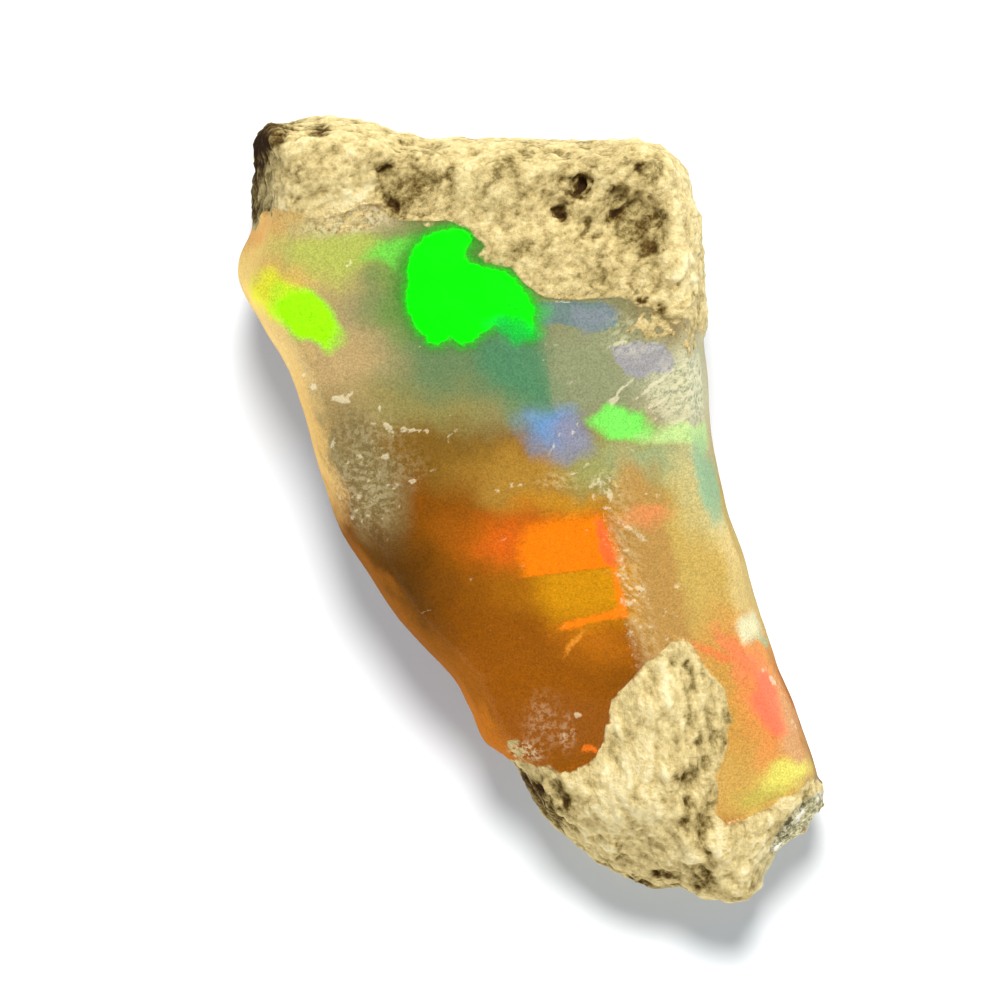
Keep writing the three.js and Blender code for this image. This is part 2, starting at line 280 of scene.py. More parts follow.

# %% [markdown]
# ## Carving the host rock
#
# The host rock is a weathered volcanic ash stone. It has knobs of 1 to 2 mm, and grains of 0.2 to 0.6
# mm that stand out where the soft ash between them has gone. The grain has a direction, as in any
# bedded ash: it climbs to the right on the upper end and runs steeply on the lower one. Each of these
# is one field of heights, and the fields are added and pushed out along the surface. Random fields
# give the grain. The hollows and holes that the eye would miss are given one by one, as ovals whose
# edges the same random fields make ragged.

# %% Holes
HOLLOWS = [  # x, y, half length, half width in mm, turn in degrees, depth in mm
    (-8.0, 14.4, 0.35, 0.28, 0, 0.2),
    (-8.7, 12.8, 0.18, 0.1, 0, 0.25),
    (-5.4, 12.85, 0.42, 0.16, 12, 0.45),
    (-5.6, 12.6, 0.25, 0.14, -60, 0.35),
    (-5.75, 12.0, 0.35, 0.14, 55, 0.4),
    (-5.3, 11.5, 0.55, 0.16, -42, 0.45),
    (-5.0, 11.2, 0.3, 0.17, 80, 0.4),
    (-4.0, 11.2, 0.35, 0.12, 15, 0.3),
    (-3.1, 12.5, 0.45, 0.14, 90, 0.28),
    (-3.9, 13.6, 0.6, 0.14, 40, 0.2),
    (-2.2, 14.0, 0.35, 0.12, 15, 0.15),
    (-10.1, 11.8, 0.25, 0.35, 0, 0.3),
    (-8.8, 11.7, 0.15, 0.1, 0, 0.2),
    (-9.0, 11.2, 0.15, 0.12, 0, 0.2),
    (1.8, 12.45, 0.6, 0.17, -8, 0.55),
    (2.0, 12.15, 0.5, 0.2, 62, 0.6),
    (1.75, 11.85, 0.32, 0.2, 0, 0.55),
    (2.35, 12.8, 0.24, 0.13, 60, 0.4),
    (1.1, 11.1, 0.27, 0.33, 10, 0.75),
    (1.4, 11.5, 0.28, 0.13, 40, 0.35),
    (2.1, 10.65, 0.4, 0.17, 60, 0.5),
    (1.9, 10.2, 0.28, 0.13, 60, 0.35),
    (2.6, 10.3, 0.22, 0.18, 0, 0.3),
    (3.1, 12.3, 0.32, 0.15, -60, 0.38),
    (3.25, 11.95, 0.13, 0.11, 0, 0.3),
    (4.3, 13.1, 0.4, 0.2, 70, 0.35),
    (4.15, 12.75, 0.12, 0.11, 0, 0.3),
    (3.45, 11.3, 0.65, 0.16, 42, 0.42),
    (4.2, 11.6, 0.6, 0.14, 15, 0.25),
    (3.1, 10.8, 0.35, 0.17, 70, 0.35),
    (3.5, 10.1, 0.3, 0.2, 0, 0.25),
    (3.5, 9.35, 0.42, 0.14, -80, 0.25),
    (4.5, 9.7, 0.27, 0.2, 0, 0.2),
    (1.7, 9.55, 0.12, 0.11, 0, 0.3),
    (1.55, 9.2, 0.13, 0.17, 0, 0.28),
    (1.75, 8.7, 0.18, 0.12, 0, 0.38),
    (2.65, 9.5, 0.2, 0.24, 0, 0.3),
    (2.45, 8.35, 0.15, 0.14, 0, 0.33),
    (2.8, 8.6, 0.11, 0.13, 0, 0.28),
    (3.85, 8.45, 0.22, 0.12, -20, 0.38),
    (4.1, 8.2, 0.13, 0.12, 0, 0.33),
    (4.4, 7.95, 0.25, 0.17, 20, 0.38),
    (4.8, 7.55, 0.37, 0.09, 25, 0.25),
    (5.6, 8.4, 0.24, 0.1, 60, 0.25),
    (5.85, 8.6, 0.32, 0.08, 15, 0.2),
    (4.95, 12.5, 0.42, 0.07, 20, 0.18),
    (-1.7, 12.0, 0.16, 0.11, 0, 0.28),
    (-1.1, 12.65, 0.12, 0.09, 0, 0.2),
    (0.3, 12.4, 0.13, 0.09, 0, 0.22),
    (-0.3, 9.7, 0.12, 0.3, 10, 0.12),
    (5.95, -6.0, 0.09, 0.22, -15, 0.4),
    (6.55, -6.3, 0.12, 0.16, 0, 0.4),
    (5.4, -5.9, 0.17, 0.11, 0, 0.22),
    (6.25, -8.0, 0.28, 0.22, 0, 0.22),
    (6.2, -8.85, 0.45, 0.12, 5, 0.25),
    (7.0, -8.7, 0.38, 0.17, 20, 0.25),
    (6.0, -10.6, 0.2, 0.38, 0, 0.25),
    (6.15, -11.1, 0.17, 0.27, 10, 0.35),
    (6.55, -12.2, 0.32, 0.48, 10, 0.35),
    (6.9, -11.5, 0.17, 0.22, 0, 0.3),
    (5.1, -11.3, 0.15, 0.22, 0, 0.3),
    (5.9, -12.05, 0.15, 0.17, 0, 0.28),
    (4.2, -12.4, 0.38, 0.17, 45, 0.28),
    (3.5, -13.4, 0.13, 0.32, 15, 0.25),
    (4.95, -14.2, 0.32, 0.14, 0, 0.3),
    (6.45, -14.2, 0.33, 0.5, -10, 0.35),
    (2.6, -12.6, 0.14, 0.12, 0, 0.2),
    (1.05, -10.55, 0.22, 0.27, 0, 0.45),
    (0.25, -10.7, 0.33, 0.4, 0, 0.5),
    (1.5, -12.0, 0.8, 0.2, -70, 0.38),
    (0.55, -11.15, 0.28, 0.09, -10, 0.28),
    (3.2, -8.5, 0.14, 0.11, 0, 0.22),
    (2.6, -10.6, 0.42, 0.11, 80, 0.22),
    (2.2, -11.2, 0.11, 0.27, 0, 0.22),
    (7.2, -7.3, 0.11, 0.32, 0, 0.18),
]
print("holes:", len(HOLLOWS))

# %% Scoops and knobs
SCOOPS = [  # the same, steep on the side that the turn starts from and rising to the other
    (-4.4, 12.4, 1.5, 1.15, 15, 0.3),
    (4.0, 10.6, 1.4, 1.0, -50, 0.38),
    (2.0, 12.2, 1.1, 0.9, -60, 0.18),
    (4.6, 12.9, 0.8, 0.5, -60, 0.15),
    (1.4, 11.0, 0.7, 0.6, -60, 0.12),
    (6.2, -11.2, 1.0, 0.8, -90, 0.18),
]
KNOBS = [  # the same, standing out
    (-7.6, 13.0, 2.0, 1.3, 25, 0.08),
    (-1.0, 12.3, 1.1, 0.9, 0, 0.12),
    (-0.4, 9.9, 0.8, 0.6, 0, 0.1),
    (0.6, 12.6, 0.4, 0.6, 0, 0.12),
    (4.4, 6.9, 0.35, 0.45, 10, 0.2),
    (5.4, 7.4, 0.45, 0.3, 20, 0.15),
    (0.6, -10.6, 0.32, 0.38, 0, 0.22),
    (0.9, -11.6, 0.36, 0.5, -30, 0.25),
    (4.6, -7.6, 1.0, 0.5, 70, 0.1),
]
print("scoops:", len(SCOOPS), "knobs:", len(KNOBS))

# %% [markdown]
# The holes and scoops are darker, with brown iron stain and painted shade. Some stretches of the host
# rock are darker or paler as a whole: some are stained and some bleached, the steep left walls and the
# bowls of the scoops have painted shade, and the lower end, which slopes away from the key lamp, has
# painted light. These ovals don't move the surface. They are kept with the tone of the rock, which
# the material reads.

# %% Stains and painted light
STAINS_AND_PAINTED_LIGHT = [  # the same: how much darker, or if below zero how much paler, the host rock is
    # Darker is iron stain, and painted shade on the steep left walls and in the scoops; below zero, paler
    # is bleaching, and painted light on the lower end.
    (-10.9, 13.2, 1.2, 1.8, 0, 0.53),
    (-10.3, 11.1, 0.7, 0.6, 0, 0.42),
    (-10.0, 14.1, 1.3, 0.6, 35, 0.42),
    (-8.0, 14.45, 0.5, 0.4, 0, 0.45),
    (-4.5, 12.6, 1.5, 1.2, 20, 0.17),
    (4.0, 10.7, 1.4, 0.9, -50, 0.2),
    (4.1, 10.5, 0.8, 0.6, -50, 0.06),
    (1.6, 12.2, 0.7, 0.9, -30, 0.12),
    (2.0, 12.2, 0.5, 0.36, 70, 0.16),
    (1.25, 11.05, 0.34, 0.36, 10, 0.16),
    (2.5, 9.4, 0.4, 1.2, 0, 0.14),
    (4.8, 12.95, 0.35, 0.5, 0, 0.2),
    (3.6, 12.1, 0.25, 0.55, 20, 0.2),
    (4.35, 7.85, 0.25, 0.2, 0, 0.45),
    (4.95, 7.45, 0.28, 0.18, 30, 0.4),
    (6.2, 7.95, 0.45, 0.12, 25, 0.3),
    (-0.4, 13.2, 1.2, 0.5, 0, 0.12),
    (1.0, 13.6, 6.0, 0.7, 0, 0.07),
    (-6.3, 10.9, 1.6, 0.4, 0, 0.12),
    (6.3, -11.6, 0.6, 1.3, 10, 0.14),
    (0.1, -11.0, 0.9, 1.7, 35, 0.32),
    (1.3, -10.9, 0.22, 0.7, 10, 0.22),
    (0.9, -11.7, 0.45, 0.2, -50, 0.3),
    (1.5, -11.6, 0.3, 0.5, 20, 0.18),
    (5.7, -5.9, 0.7, 0.6, 0, 0.1),
    (3.4, -13.2, 0.16, 0.4, 10, 0.35),
    (5.2, -14.1, 0.6, 0.18, -10, 0.3),
    (-0.4, -10.6, 0.5, 1.2, 35, 0.2),
    (1.0, -12.6, 1.6, 0.45, -50, 0.15),
    (2.6, -13.8, 2.4, 0.25, -25, 0.3),
    (5.0, -14.7, 1.3, 0.3, -12, 0.3),
    (6.5, -14.3, 0.4, 0.4, 0, 0.3),
    (-7.2, 11.7, 1.7, 0.6, 8, -0.24),
    (4.2, 9.0, 1.0, 0.8, 0, 0.1),
    (5.9, 9.6, 0.8, 2.6, 0, -0.08),
    (4.7, 8.3, 1.6, 0.8, 0, -0.05),
    (4.3, -7.2, 1.4, 2.2, -35, -0.05),
    (3.8, -10.8, 1.9, 1.6, 0, -0.2),
    (8.0, -13.2, 1.6, 1.5, 0, -0.1),
    (4.0, -13.0, 2.6, 0.9, -15, -0.08),
]
print("stains:", len(STAINS_AND_PAINTED_LIGHT))

# %% [markdown]
# Seen from above, the real outline swells and draws in a little more than the solid's does. These
# moves of the walls are too slight to matter for the solid, so they are made here.

# %% Moves of the outline
OUTLINE = [  # the same: mm that the walls stand out or in, against the solid
    (8.6, -3.2, 2.6, 1.6, -65, 0.26),
    (10.4, -8.8, 2.4, 1.4, -68, 0.15),
    (10.8, -12.3, 1.2, 0.8, 40, 0.12),
    (7.6, -14.9, 2.0, 1.0, 5, 0.16),
    (1.2, -12.8, 2.6, 1.2, -40, -0.2),
    (-4.2, -4.8, 6.5, 1.4, -48, 0.16),
    (-1.2, -9.0, 1.2, 1.0, -50, 0.15),
    (-11.2, 8.8, 1.2, 1.5, 0, 0.12),
    (-11.0, 12.3, 1.0, 2.0, 0, -0.12),
    (-10.4, 14.4, 1.0, 0.8, 45, 0.2),
    (-8.3, 15.2, 1.9, 1.0, 12, -0.2),
    (3.4, 14.2, 4.4, 1.0, 0, -0.2),
    (6.9, 6.9, 0.8, 1.6, 0, -0.1),
]
LEDGES = [(-1.9, 9.9, 0.9, 0.8, 0, 0.6)]  # the same: where the host rock's edge stays thick
print("moves of the outline:", len(OUTLINE))

# %% [markdown]
# The random fields come from Blender's own noise, which gives the same value at the same place each
# time. The last number of each call shifts the field, so that no two of them look alike.

# %% Random fields
APART = 17.3  # lumps: a shift that is far enough for two fields to have nothing in common
WEAKER, FINER = 0.9, 2.0  # how fast each octave gets weaker, and how many times finer it is
MEAN_REACH = 0.45  # cells: about the mean distance to the middle of a grain


def random_field(points, size, octaves=3, shift=0.0):
    """Smooth random lumps of about the given size in mm, from about -1 to 1."""
    moved = points / size + shift
    return np.array([noise.fractal(p, WEAKER, FINER, octaves) for p in moved])


def drift(points, size, amount, shift):
    """The points moved about at random, to make what is looked up there ragged."""
    moves = [random_field(points, size, 2, shift + axis * APART) for axis in range(3)]
    return points + amount * np.stack(moves, axis=1)


def streaked(points, turn, stretch):
    """The points squeezed so that random lumps come out longer along a direction in plan."""
    c, s = math.cos(math.radians(turn)), math.sin(math.radians(turn))
    along, across = c * points[:, 0] + s * points[:, 1], c * points[:, 1] - s * points[:, 0]
    return np.stack([along / stretch, across, points[:, 2]], axis=1)


def grains(points, size):
    """Grains that stand out of the ash: high at the middle of each cell, low between cells."""
    return MEAN_REACH - np.array([noise.voronoi(p)[0][0] for p in points / size])


print("a random field at one place:", round(float(random_field(np.full((1, 3), 0.5), 1.0)[0]), 2))

# %% [markdown]
# The host rock doesn't end in a step. It thins out over 2 mm until only a film of grains is left on
# the opal, so most of the solid's step is taken away there.

# %% Thin the edge of the host rock
THINS_OVER = 2.0  # mm
THINNED = 0.85  # the share of the step that goes
PAST_EDGE = 0.25  # mm: how far outside the line the step's foot reaches
RAGGED = {"amount": 0.17, "size": 0.7}  # mm: how far and how finely the grains fray the edge

rock += RAGGED["amount"] * random_field(points, RAGGED["size"], 4, 2.9)
above = np.maximum(points[:, 2] - top_height(points), 0)
thin = THINNED * smoothstep(THINS_OVER, 0.0, rock) * (rock > -PAST_EDGE) * (1 - ovals(points, LEDGES))
points[:, 2] -= thin * above
write_points(stone.data, points)
print("step taken away in mm, at most:", round(float((thin * above).max()), 2))

# %% [markdown]
# The grain's directions are given as a turn from the photo's right in degrees, and as how many times
# as long as wide the lumps are. The steep ones belong to the larger lumps.

# %% Directions and masks of the host rock
GRAIN_UPPER, GRAIN_LOWER = (40, 1.6), (104, 2.6)
STEEP_UPPER, STEEP_LOWER = (80, 1.8), (84, 2.2)

rock_mask = smoothstep(-0.02, 0.14, rock)  # its relief fades in over 0.16 mm
on_rock = np.flatnonzero(rock_mask > 0)
at = points[on_rock]
lower_end = points[:, 1:2] < 0
grain_way = np.where(lower_end, streaked(points, *GRAIN_LOWER), streaked(points, *GRAIN_UPPER))
steep_way = np.where(lower_end, streaked(points, *STEEP_LOWER), streaked(points, *STEEP_UPPER))[on_rock]
streaky = grain_way[on_rock]
ragged = drift(at, 0.35, 0.24, 2.2)  # frays the ovals that are looked up there
facing_up = np.clip(read_normals(stone.data)[:, 2], 0, 1)
up = facing_up[on_rock]
depth = top_height(points) - points[:, 2]
# near_top: where the stains and the painted shade and light of that table show
near_top = smoothstep(8.0, 3.5, depth + 1.5 * random_field(points, 2.5, 3, 5.5))  # where stains show
print("points on the host rock:", len(on_rock))

# %% [markdown]
# The relief in mm is a sum. Fine grain is half of it: grains half a millimetre long, ridges between
# them, and single round ones. Lumps, swells, knobs, cracks, holes and scoops follow. The tone, from 0
# for the darkest stain to 1 for a rubbed grain, is made from the same fields, so that dark places are
# deep ones: the holes, scoops and cracks are darker with painted shade besides their stain, and the
# lumps and high grains are paler with a painted highlight besides their rubbing.

# %% Add up the relief of the host rock
GRAIN, RIDGE, ROUND = 0.13, 0.09, 0.05  # mm, how high the three kinds of fine grain are
LUMP, SWELL, CRACK = 0.07, 0.08, 0.06  # mm, how high or deep these are
HOLE_DEPTH = 0.3  # the share of the depths in the table that the holes are cut to
TONE = {"flat": 0.6, "lump": 0.17, "hole": 0.72, "scoop": 0.2, "crack": 0.08}  # what each gives or takes
TONE_LOWER, TONE_UPPER = 1.8, 1.4  # how strongly the fine grain shows in the tone at each end

ridges = 0.4 - np.abs(random_field(drift(streaky, 0.3, 0.08, 6.1), 0.24, 3, 1.9))
round_grains = grains(drift(at, 0.3, 0.1, 6.1), 0.4)
fine_grain = GRAIN * random_field(streaky, 0.5, 3, 7.3) + RIDGE * ridges + ROUND * round_grains
lumps = random_field(steep_way, 0.9, 2, 12.4)
cracks = smoothstep(0.12, 0.0, np.abs(random_field(at, 1.4, 2, 4.4)))  # where a field crosses zero
cracks *= smoothstep(-0.1, 0.5, random_field(at, 2.5, 1, 8.8))  # in some stretches alone
holes = up * ovals(ragged, HOLLOWS)
broad = up * ovals(ragged, SCOOPS, lean=1.0)

relief = np.zeros(len(points))
relief[on_rock] = (
    fine_grain + LUMP * lumps + SWELL * random_field(at, 1.7, 2) + up * ovals(ragged, KNOBS)
    - CRACK * cracks - HOLE_DEPTH * holes - broad
)
relief *= rock_mask
relief += ovals(points, OUTLINE, np.add) * smoothstep(0.9, 0.5, facing_up)  # on the walls alone

# Holes, scoops and cracks take tone away as painted shade and stain; lumps and high grains add it as
# painted highlight and rubbing.
tone = np.zeros(len(points))
tone[on_rock] = (
    TONE["flat"] + np.where(at[:, 1] < 0, TONE_LOWER, TONE_UPPER) * fine_grain + TONE["lump"] * lumps
    - TONE["hole"] * holes - TONE["scoop"] * broad - TONE["crack"] * cracks
    - ovals(ragged, STAINS_AND_PAINTED_LIGHT, np.add) * near_top[on_rock]
)
print("host rock relief in mm:", round(float(relief.min()), 2), "to", round(float(relief.max()), 2))

# %% [markdown]
# ## The broken faces of the opal
#
# Opal has no grain, so it breaks like glass, in faces that are nearly flat and only swell a little.
# Where the break was rough, it is frosted: a field of splinters well under a tenth of a millimetre
# high. The frosted places are the left side, the upper right, the edges of the host rock, and a few
# small ones.

# %% Frosted places
FROST = [  # x, y, half length, half width in mm, turn in degrees, how rough from 0 to 1
    (-6.2, 2.6, 1.6, 1.3, 0, 0.3),
    (-6.3, 0.8, 1.8, 1.2, -65, 0.45),
    (-5.2, 1.4, 1.4, 0.9, 20, 0.28),
    (6.2, 4.6, 1.4, 1.5, 0, 1.0),
    (5.0, 4.2, 1.0, 0.7, -60, 0.8),
    (3.9, 6.5, 1.2, 0.9, 0, 0.6),
    (-6.8, 10.9, 1.9, 0.55, 10, 0.9),
    (3.0, 0.9, 0.8, 0.6, 0, 0.6),
    (1.0, 1.0, 0.9, 0.3, 0, 0.5),
    (-0.1, -9.2, 0.7, 0.35, -20, 0.9),
    (0.5, -8.2, 1.2, 0.7, 90, 0.35),
    (1.4, -8.6, 0.3, 0.8, 0, 0.5),
    (7.6, -1.2, 0.5, 1.2, 20, 0.35),
    (9.9, -7.2, 2.0, 0.3, -68, 0.5),
]
print("frosted ovals:", len(FROST))

# %% [markdown]
# Along the worn edge, on the right of the orange flash and on the right rim, flecks of splintered
# opal catch the light. Those that stand out are listed one by one.

# %% Flecks listed one by one
# The flecks are pale: splintered opal, and a painted glint where they catch the light.
FLECKS = [  # the same, of the small splintered places
    (-7.2, 4.1, 0.42, 0.12, -12, 1.0),
    (-6.85, 4.3, 0.2, 0.09, 50, 0.8),
    (-8.2, 4.6, 0.18, 0.15, 0, 0.8),
    (-8.6, 5.0, 0.14, 0.12, 0, 0.7),
    (-5.7, 3.8, 0.1, 0.16, 0, 1.0),
    (-5.4, 3.05, 0.32, 0.14, -42, 1.0),
    (-4.8, 2.95, 0.14, 0.16, 0, 1.0),
    (-4.4, 2.93, 0.34, 0.09, 0, 0.9),
    (-3.9, 2.93, 0.1, 0.14, 0, 0.9),
    (-5.5, 1.95, 0.28, 0.11, 0, 0.8),
    (-4.5, 1.0, 0.25, 0.09, 15, 0.9),
    (-3.7, 1.4, 0.22, 0.08, 10, 0.5),
    (-3.0, 2.8, 0.4, 0.1, 35, 0.5),
    (-0.25, 0.9, 0.18, 0.08, 0, 0.9),
    (-0.7, 0.9, 0.14, 0.07, 0, 0.8),
    (-1.3, 0.65, 0.14, 0.08, 0, 0.7),
    (-6.5, 0.4, 0.17, 0.08, 0, 0.6),
    (-6.6, -0.1, 0.11, 0.09, 0, 0.6),
    (-7.45, 2.4, 0.3, 0.11, 75, 0.7),
    (-7.3, 0.6, 0.12, 0.12, 0, 0.5),
    (-5.2, 0.9, 0.32, 0.08, 0, 0.5),
    (-7.8, 1.6, 0.1, 0.22, 0, 0.6),
    (2.6, 1.0, 0.24, 0.07, -30, 1.0),
    (2.95, 1.05, 0.18, 0.06, -60, 1.0),
    (2.35, 0.85, 0.2, 0.06, 30, 0.9),
    (3.05, 0.5, 0.07, 0.32, -8, 1.0),
    (2.95, 0.0, 0.2, 0.07, 0, 1.0),
    (2.4, 0.4, 0.09, 0.18, 0, 0.7),
    (2.1, 1.6, 0.34, 0.06, 30, 0.6),
    (1.6, 1.25, 0.28, 0.06, 12, 0.6),
    (4.4, 0.5, 0.09, 0.09, 0, 0.7),
    (4.85, 0.45, 0.14, 0.07, -30, 0.7),
    (4.2, -3.05, 0.28, 0.07, -10, 1.0),
    (3.8, -3.05, 0.17, 0.07, 0, 0.9),
    (4.1, -3.3, 0.24, 0.07, -25, 1.0),
    (3.9, -3.5, 0.28, 0.06, -30, 0.9),
    (3.6, -2.7, 0.1, 0.07, 0, 0.7),
    (3.8, -0.8, 0.95, 0.07, -30, 0.7),
    (4.3, -1.15, 0.35, 0.09, -25, 0.9),
    (3.55, -1.62, 0.28, 0.06, -5, 0.9),
    (3.5, -3.0, 0.9, 0.05, -78, 0.4),
    (3.95, -5.0, 0.8, 0.05, -80, 0.4),
    (5.1, -3.95, 0.07, 0.22, 0, 0.7),
    (5.6, -2.95, 0.18, 0.07, 0, 0.6),
    (5.2, -5.0, 0.25, 0.12, -60, 0.5),
    (3.2, 4.0, 0.34, 0.08, 42, 0.9),
    (4.8, 3.4, 0.14, 0.11, 0, 0.9),
    (5.5, 3.75, 0.34, 0.07, 12, 0.8),
    (1.65, 2.85, 0.09, 0.08, 0, 1.0),
    (1.8, 3.15, 0.06, 0.14, 0, 0.6),
    (0.9, 2.4, 0.62, 0.07, 62, 0.6),
    (1.6, 4.9, 0.34, 0.07, 72, 0.5),
    (3.3, 6.2, 0.5, 0.07, 18, 1.0),
    (6.1, 5.6, 0.14, 0.07, 0, 1.0),
    (5.4, 5.2, 0.18, 0.1, 30, 0.8),
    (6.6, 6.8, 0.2, 0.16, -40, 0.8),
    (-6.8, 9.35, 0.34, 0.05, 45, 0.7),
    (-5.1, 6.7, 0.12, 0.06, 0, 0.6),
    (-0.2, -8.1, 0.17, 0.06, -60, 0.5),
    (0.5, -8.3, 0.06, 0.18, 0, 0.5),
    (1.8, -7.9, 0.2, 0.17, 0, 0.8),
    (1.7, -8.5, 0.09, 0.22, 0, 0.5),
    (1.3, -8.7, 0.07, 0.34, 0, 0.5),
    (-1.1, -1.2, 0.28, 0.04, 35, 0.5),
    (-1.5, -4.6, 0.05, 0.3, 10, 0.4),
    (-2.9, -4.3, 0.1, 0.07, 0, 0.35),
    (7.3, -3.0, 0.07, 0.45, -35, 0.35),
    (9.2, -6.6, 0.28, 0.1, -55, 0.9),
    (8.9, -6.2, 0.12, 0.12, 0, 0.6),
    (9.9, -8.3, 0.25, 0.07, -60, 0.7),
    (10.9, -10.95, 0.2, 0.12, 60, 1.0),
    (10.4, -11.7, 0.12, 0.25, 0, 0.8),
    (10.5, -12.1, 0.3, 0.1, 50, 1.0),
    (9.9, -12.5, 0.2, 0.09, 45, 0.8),
    (9.3, -13.0, 0.25, 0.1, 50, 0.9),
    (3.4, 4.4, 0.9, 0.09, 42, 0.7),
    (4.6, 4.6, 0.9, 0.1, 38, 0.8),
    (4.9, 4.0, 0.7, 0.09, 35, 0.8),
    (6.0, 4.3, 0.6, 0.1, 30, 0.8),
    (5.6, 3.3, 0.5, 0.09, 20, 0.7),
    (3.9, 2.1, 0.8, 0.08, -40, 0.4),
]
print("flecks placed by hand:", len(FLECKS))

# %% [markdown]
# The long edge on the right of the orange flash is bruised: it has splinters and small steps side by
# side. On the frosted left side lie crumbs, and hairline scratches run all over. These are too many
# to place, so a loop draws them at random. The seed makes each run draw the same ones.

# %% Flecks drawn at random
BRUISED_EDGE = [(2.7, 0.9), (2.9, -1.4), (3.5, -3.2), (3.7, -4.9), (4.0, -6.0)]  # x and y in mm
SPLINTERS = 80  # most of them at the bruised edge and in its middle stretch
CRUMBS = 45  # on the frosted left side
HAIRLINES = 60  # scratches all over
HAIRLINE_WIDTH = 0.035  # mm, half of it


def edge_x(y):
    """Where the bruised edge is at each y."""
    line = np.array(BRUISED_EDGE)[::-1]
    return np.interp(y, line[:, 1], line[:, 0])


random.seed(12)
for _ in range(SPLINTERS):
    y = random.choice((random.uniform(-5.8, 0.9), random.gauss(-3.2, 0.8)))
    x = float(edge_x(y)) + 0.9 * random.random() ** 2
    size = (random.uniform(0.1, 0.28), random.uniform(0.03, 0.05))
    FLECKS.append((x, y, *size, random.gauss(-38, 12), 0.55))
for _ in range(CRUMBS):
    x, y = random.gauss(-6.2, 0.6), random.gauss(1.2, 1.2)
    size = (random.uniform(0.06, 0.16), random.uniform(0.04, 0.08))
    FLECKS.append((x, y, *size, random.uniform(0, 180), 0.6))
for _ in range(HAIRLINES):
    x, y = random.uniform(-8, 6), random.uniform(-7, 8)
    size = (random.uniform(0.15, 0.6), HAIRLINE_WIDTH)
    FLECKS.append((x, y, *size, random.gauss(35, 20), 0.4))
print("flecks in all:", len(FLECKS))

# %% Masks of the opal
BRUISE_WIDTH = 1.25  # mm, from the edge to the right
BRUISE_FROST = 0.33  # how frosted the bruise is, from 0 to 1

opal_mask = 1 - rock_mask
shaky = drift(points, 0.5, 0.14, 3.3)  # frays the frosted places and the small steps
beside = shaky[:, 0] - edge_x(points[:, 1])
bruise = smoothstep(0.0, 0.15, beside) * smoothstep(BRUISE_WIDTH, 0.75 * BRUISE_WIDTH, beside)
bruise *= smoothstep(1.2, 0.6, points[:, 1])  # it starts just above the orange flash
bruise *= smoothstep(1.0, 0.5, depth)
frost = np.maximum(ovals(shaky, FROST), BRUISE_FROST * bruise) * smoothstep(2.2, 1.0, depth)
flecks = ovals(drift(points, 0.2, 0.08, 1.1), FLECKS) * smoothstep(1.6, 0.8, depth)
print("share that is frosted:", round(float(np.mean(frost > 0.1)), 2))

# %% [markdown]
# The relief of the opal is a sum as well: a slow swell of the faces, the small steps of the bruise,
# the splinters of the frosted places, the flecks, and small bites that chip the bruised edge.

# %% Add up the relief of the opal
STEP = {"spacing": 0.3, "turn": -38, "height": 0.06}  # the small steps in the bruise, in mm and degrees
FACE_SWELL, FINE_SWELL, SPLINTER, FLECK = 0.05, 0.015, 0.05, 0.03  # mm, how high these are
BITES = 40  # along the bruised edge
BITE = {"spread": 0.12, "size": 0.26, "depth": 0.09}  # mm: off the edge, across, and deep


def chips(points, line, count, spread, size, depth):
    """Small bites out of an edge, as depths in mm."""
    corners = np.array(line)
    deepest = np.zeros(len(points))
    for _ in range(count):
        y = random.uniform(corners[-1, 1], corners[0, 1])
        x = float(edge_x(y)) + random.gauss(0, spread)
        radius = size * random.uniform(0.5, 1.3)
        reach = np.hypot(points[:, 0] - x, points[:, 1] - y) / radius
        deepest = np.maximum(deepest, depth * random.uniform(0.4, 1.0) * smoothstep(1.0, 0.55, reach))
    return deepest


c, s = math.cos(math.radians(STEP["turn"])), math.sin(math.radians(STEP["turn"]))
across_steps = (c * shaky[:, 1] - s * shaky[:, 0]) / STEP["spacing"]
saw = across_steps - np.floor(across_steps)
steps = STEP["height"] * (saw - 0.5) * bruise
swell = FACE_SWELL * random_field(points, 4.2, 2, 3.1) + FINE_SWELL * random_field(points, 1.1, 2, 9.7)
splinters = SPLINTER * random_field(points, 0.28, 3, 5.9) * frost
bites = chips(points, BRUISED_EDGE, BITES, **BITE) * facing_up
opal_relief = swell + steps + splinters - bites + FLECK * flecks
relief += opal_mask * opal_relief
print("opal relief in mm:", round(float(opal_relief.min()), 2), "to", round(float(opal_relief.max()), 2))

# %% [markdown]
# ## Push the fields into the surface
#
# Each point moves along its normal by its height. The flat that the stone rests on stays flat,
# because the stone must lie still, so the fields fade out just above it and no point goes below it.

# %% Carve
BASE_FADES = {"low": 0.02, "high": 0.5}  # mm above the floor: where the relief starts, and is full

normals = read_normals(stone.data)
flat_base = (normals[:, 2] < -0.9) & (points[:, 2] < 0.3)
push = relief * np.where(flat_base, 0, smoothstep(values=points[:, 2], **BASE_FADES))
points = points + push[:, None] * normals
points[:, 2] = np.maximum(points[:, 2], 0)
write_points(stone.data, points)
print("moved by at most, in mm:", round(float(np.abs(push).max()), 2))

# %% [markdown]
# ## Notes for the material
#
# The material reads a few numbers that are kept at every point: the distance to the edge of the host
# rock, the depth below the upper faces, the tone of the rock, how frosted the place is, how much of a
# fleck it is, and how much light comes out of it from inside. Three more hold a place instead of a
# number: how far the large random bend moves the patches of colour, and where the grain and the
# splinters are looked up, squeezed along their directions.
#
# On the walls the edge of the host rock wanders, as the photographed edge does on top, and the skin
# near the resting flat is host rock as well. Here and there single grains still sit on the opal as a
# thin film. At the lower right one small facet is glassy and frosted instead of host rock.
#
# The flashes of colour with a clear shape of their own are drawn as closed lines, and kept as
# distances too.

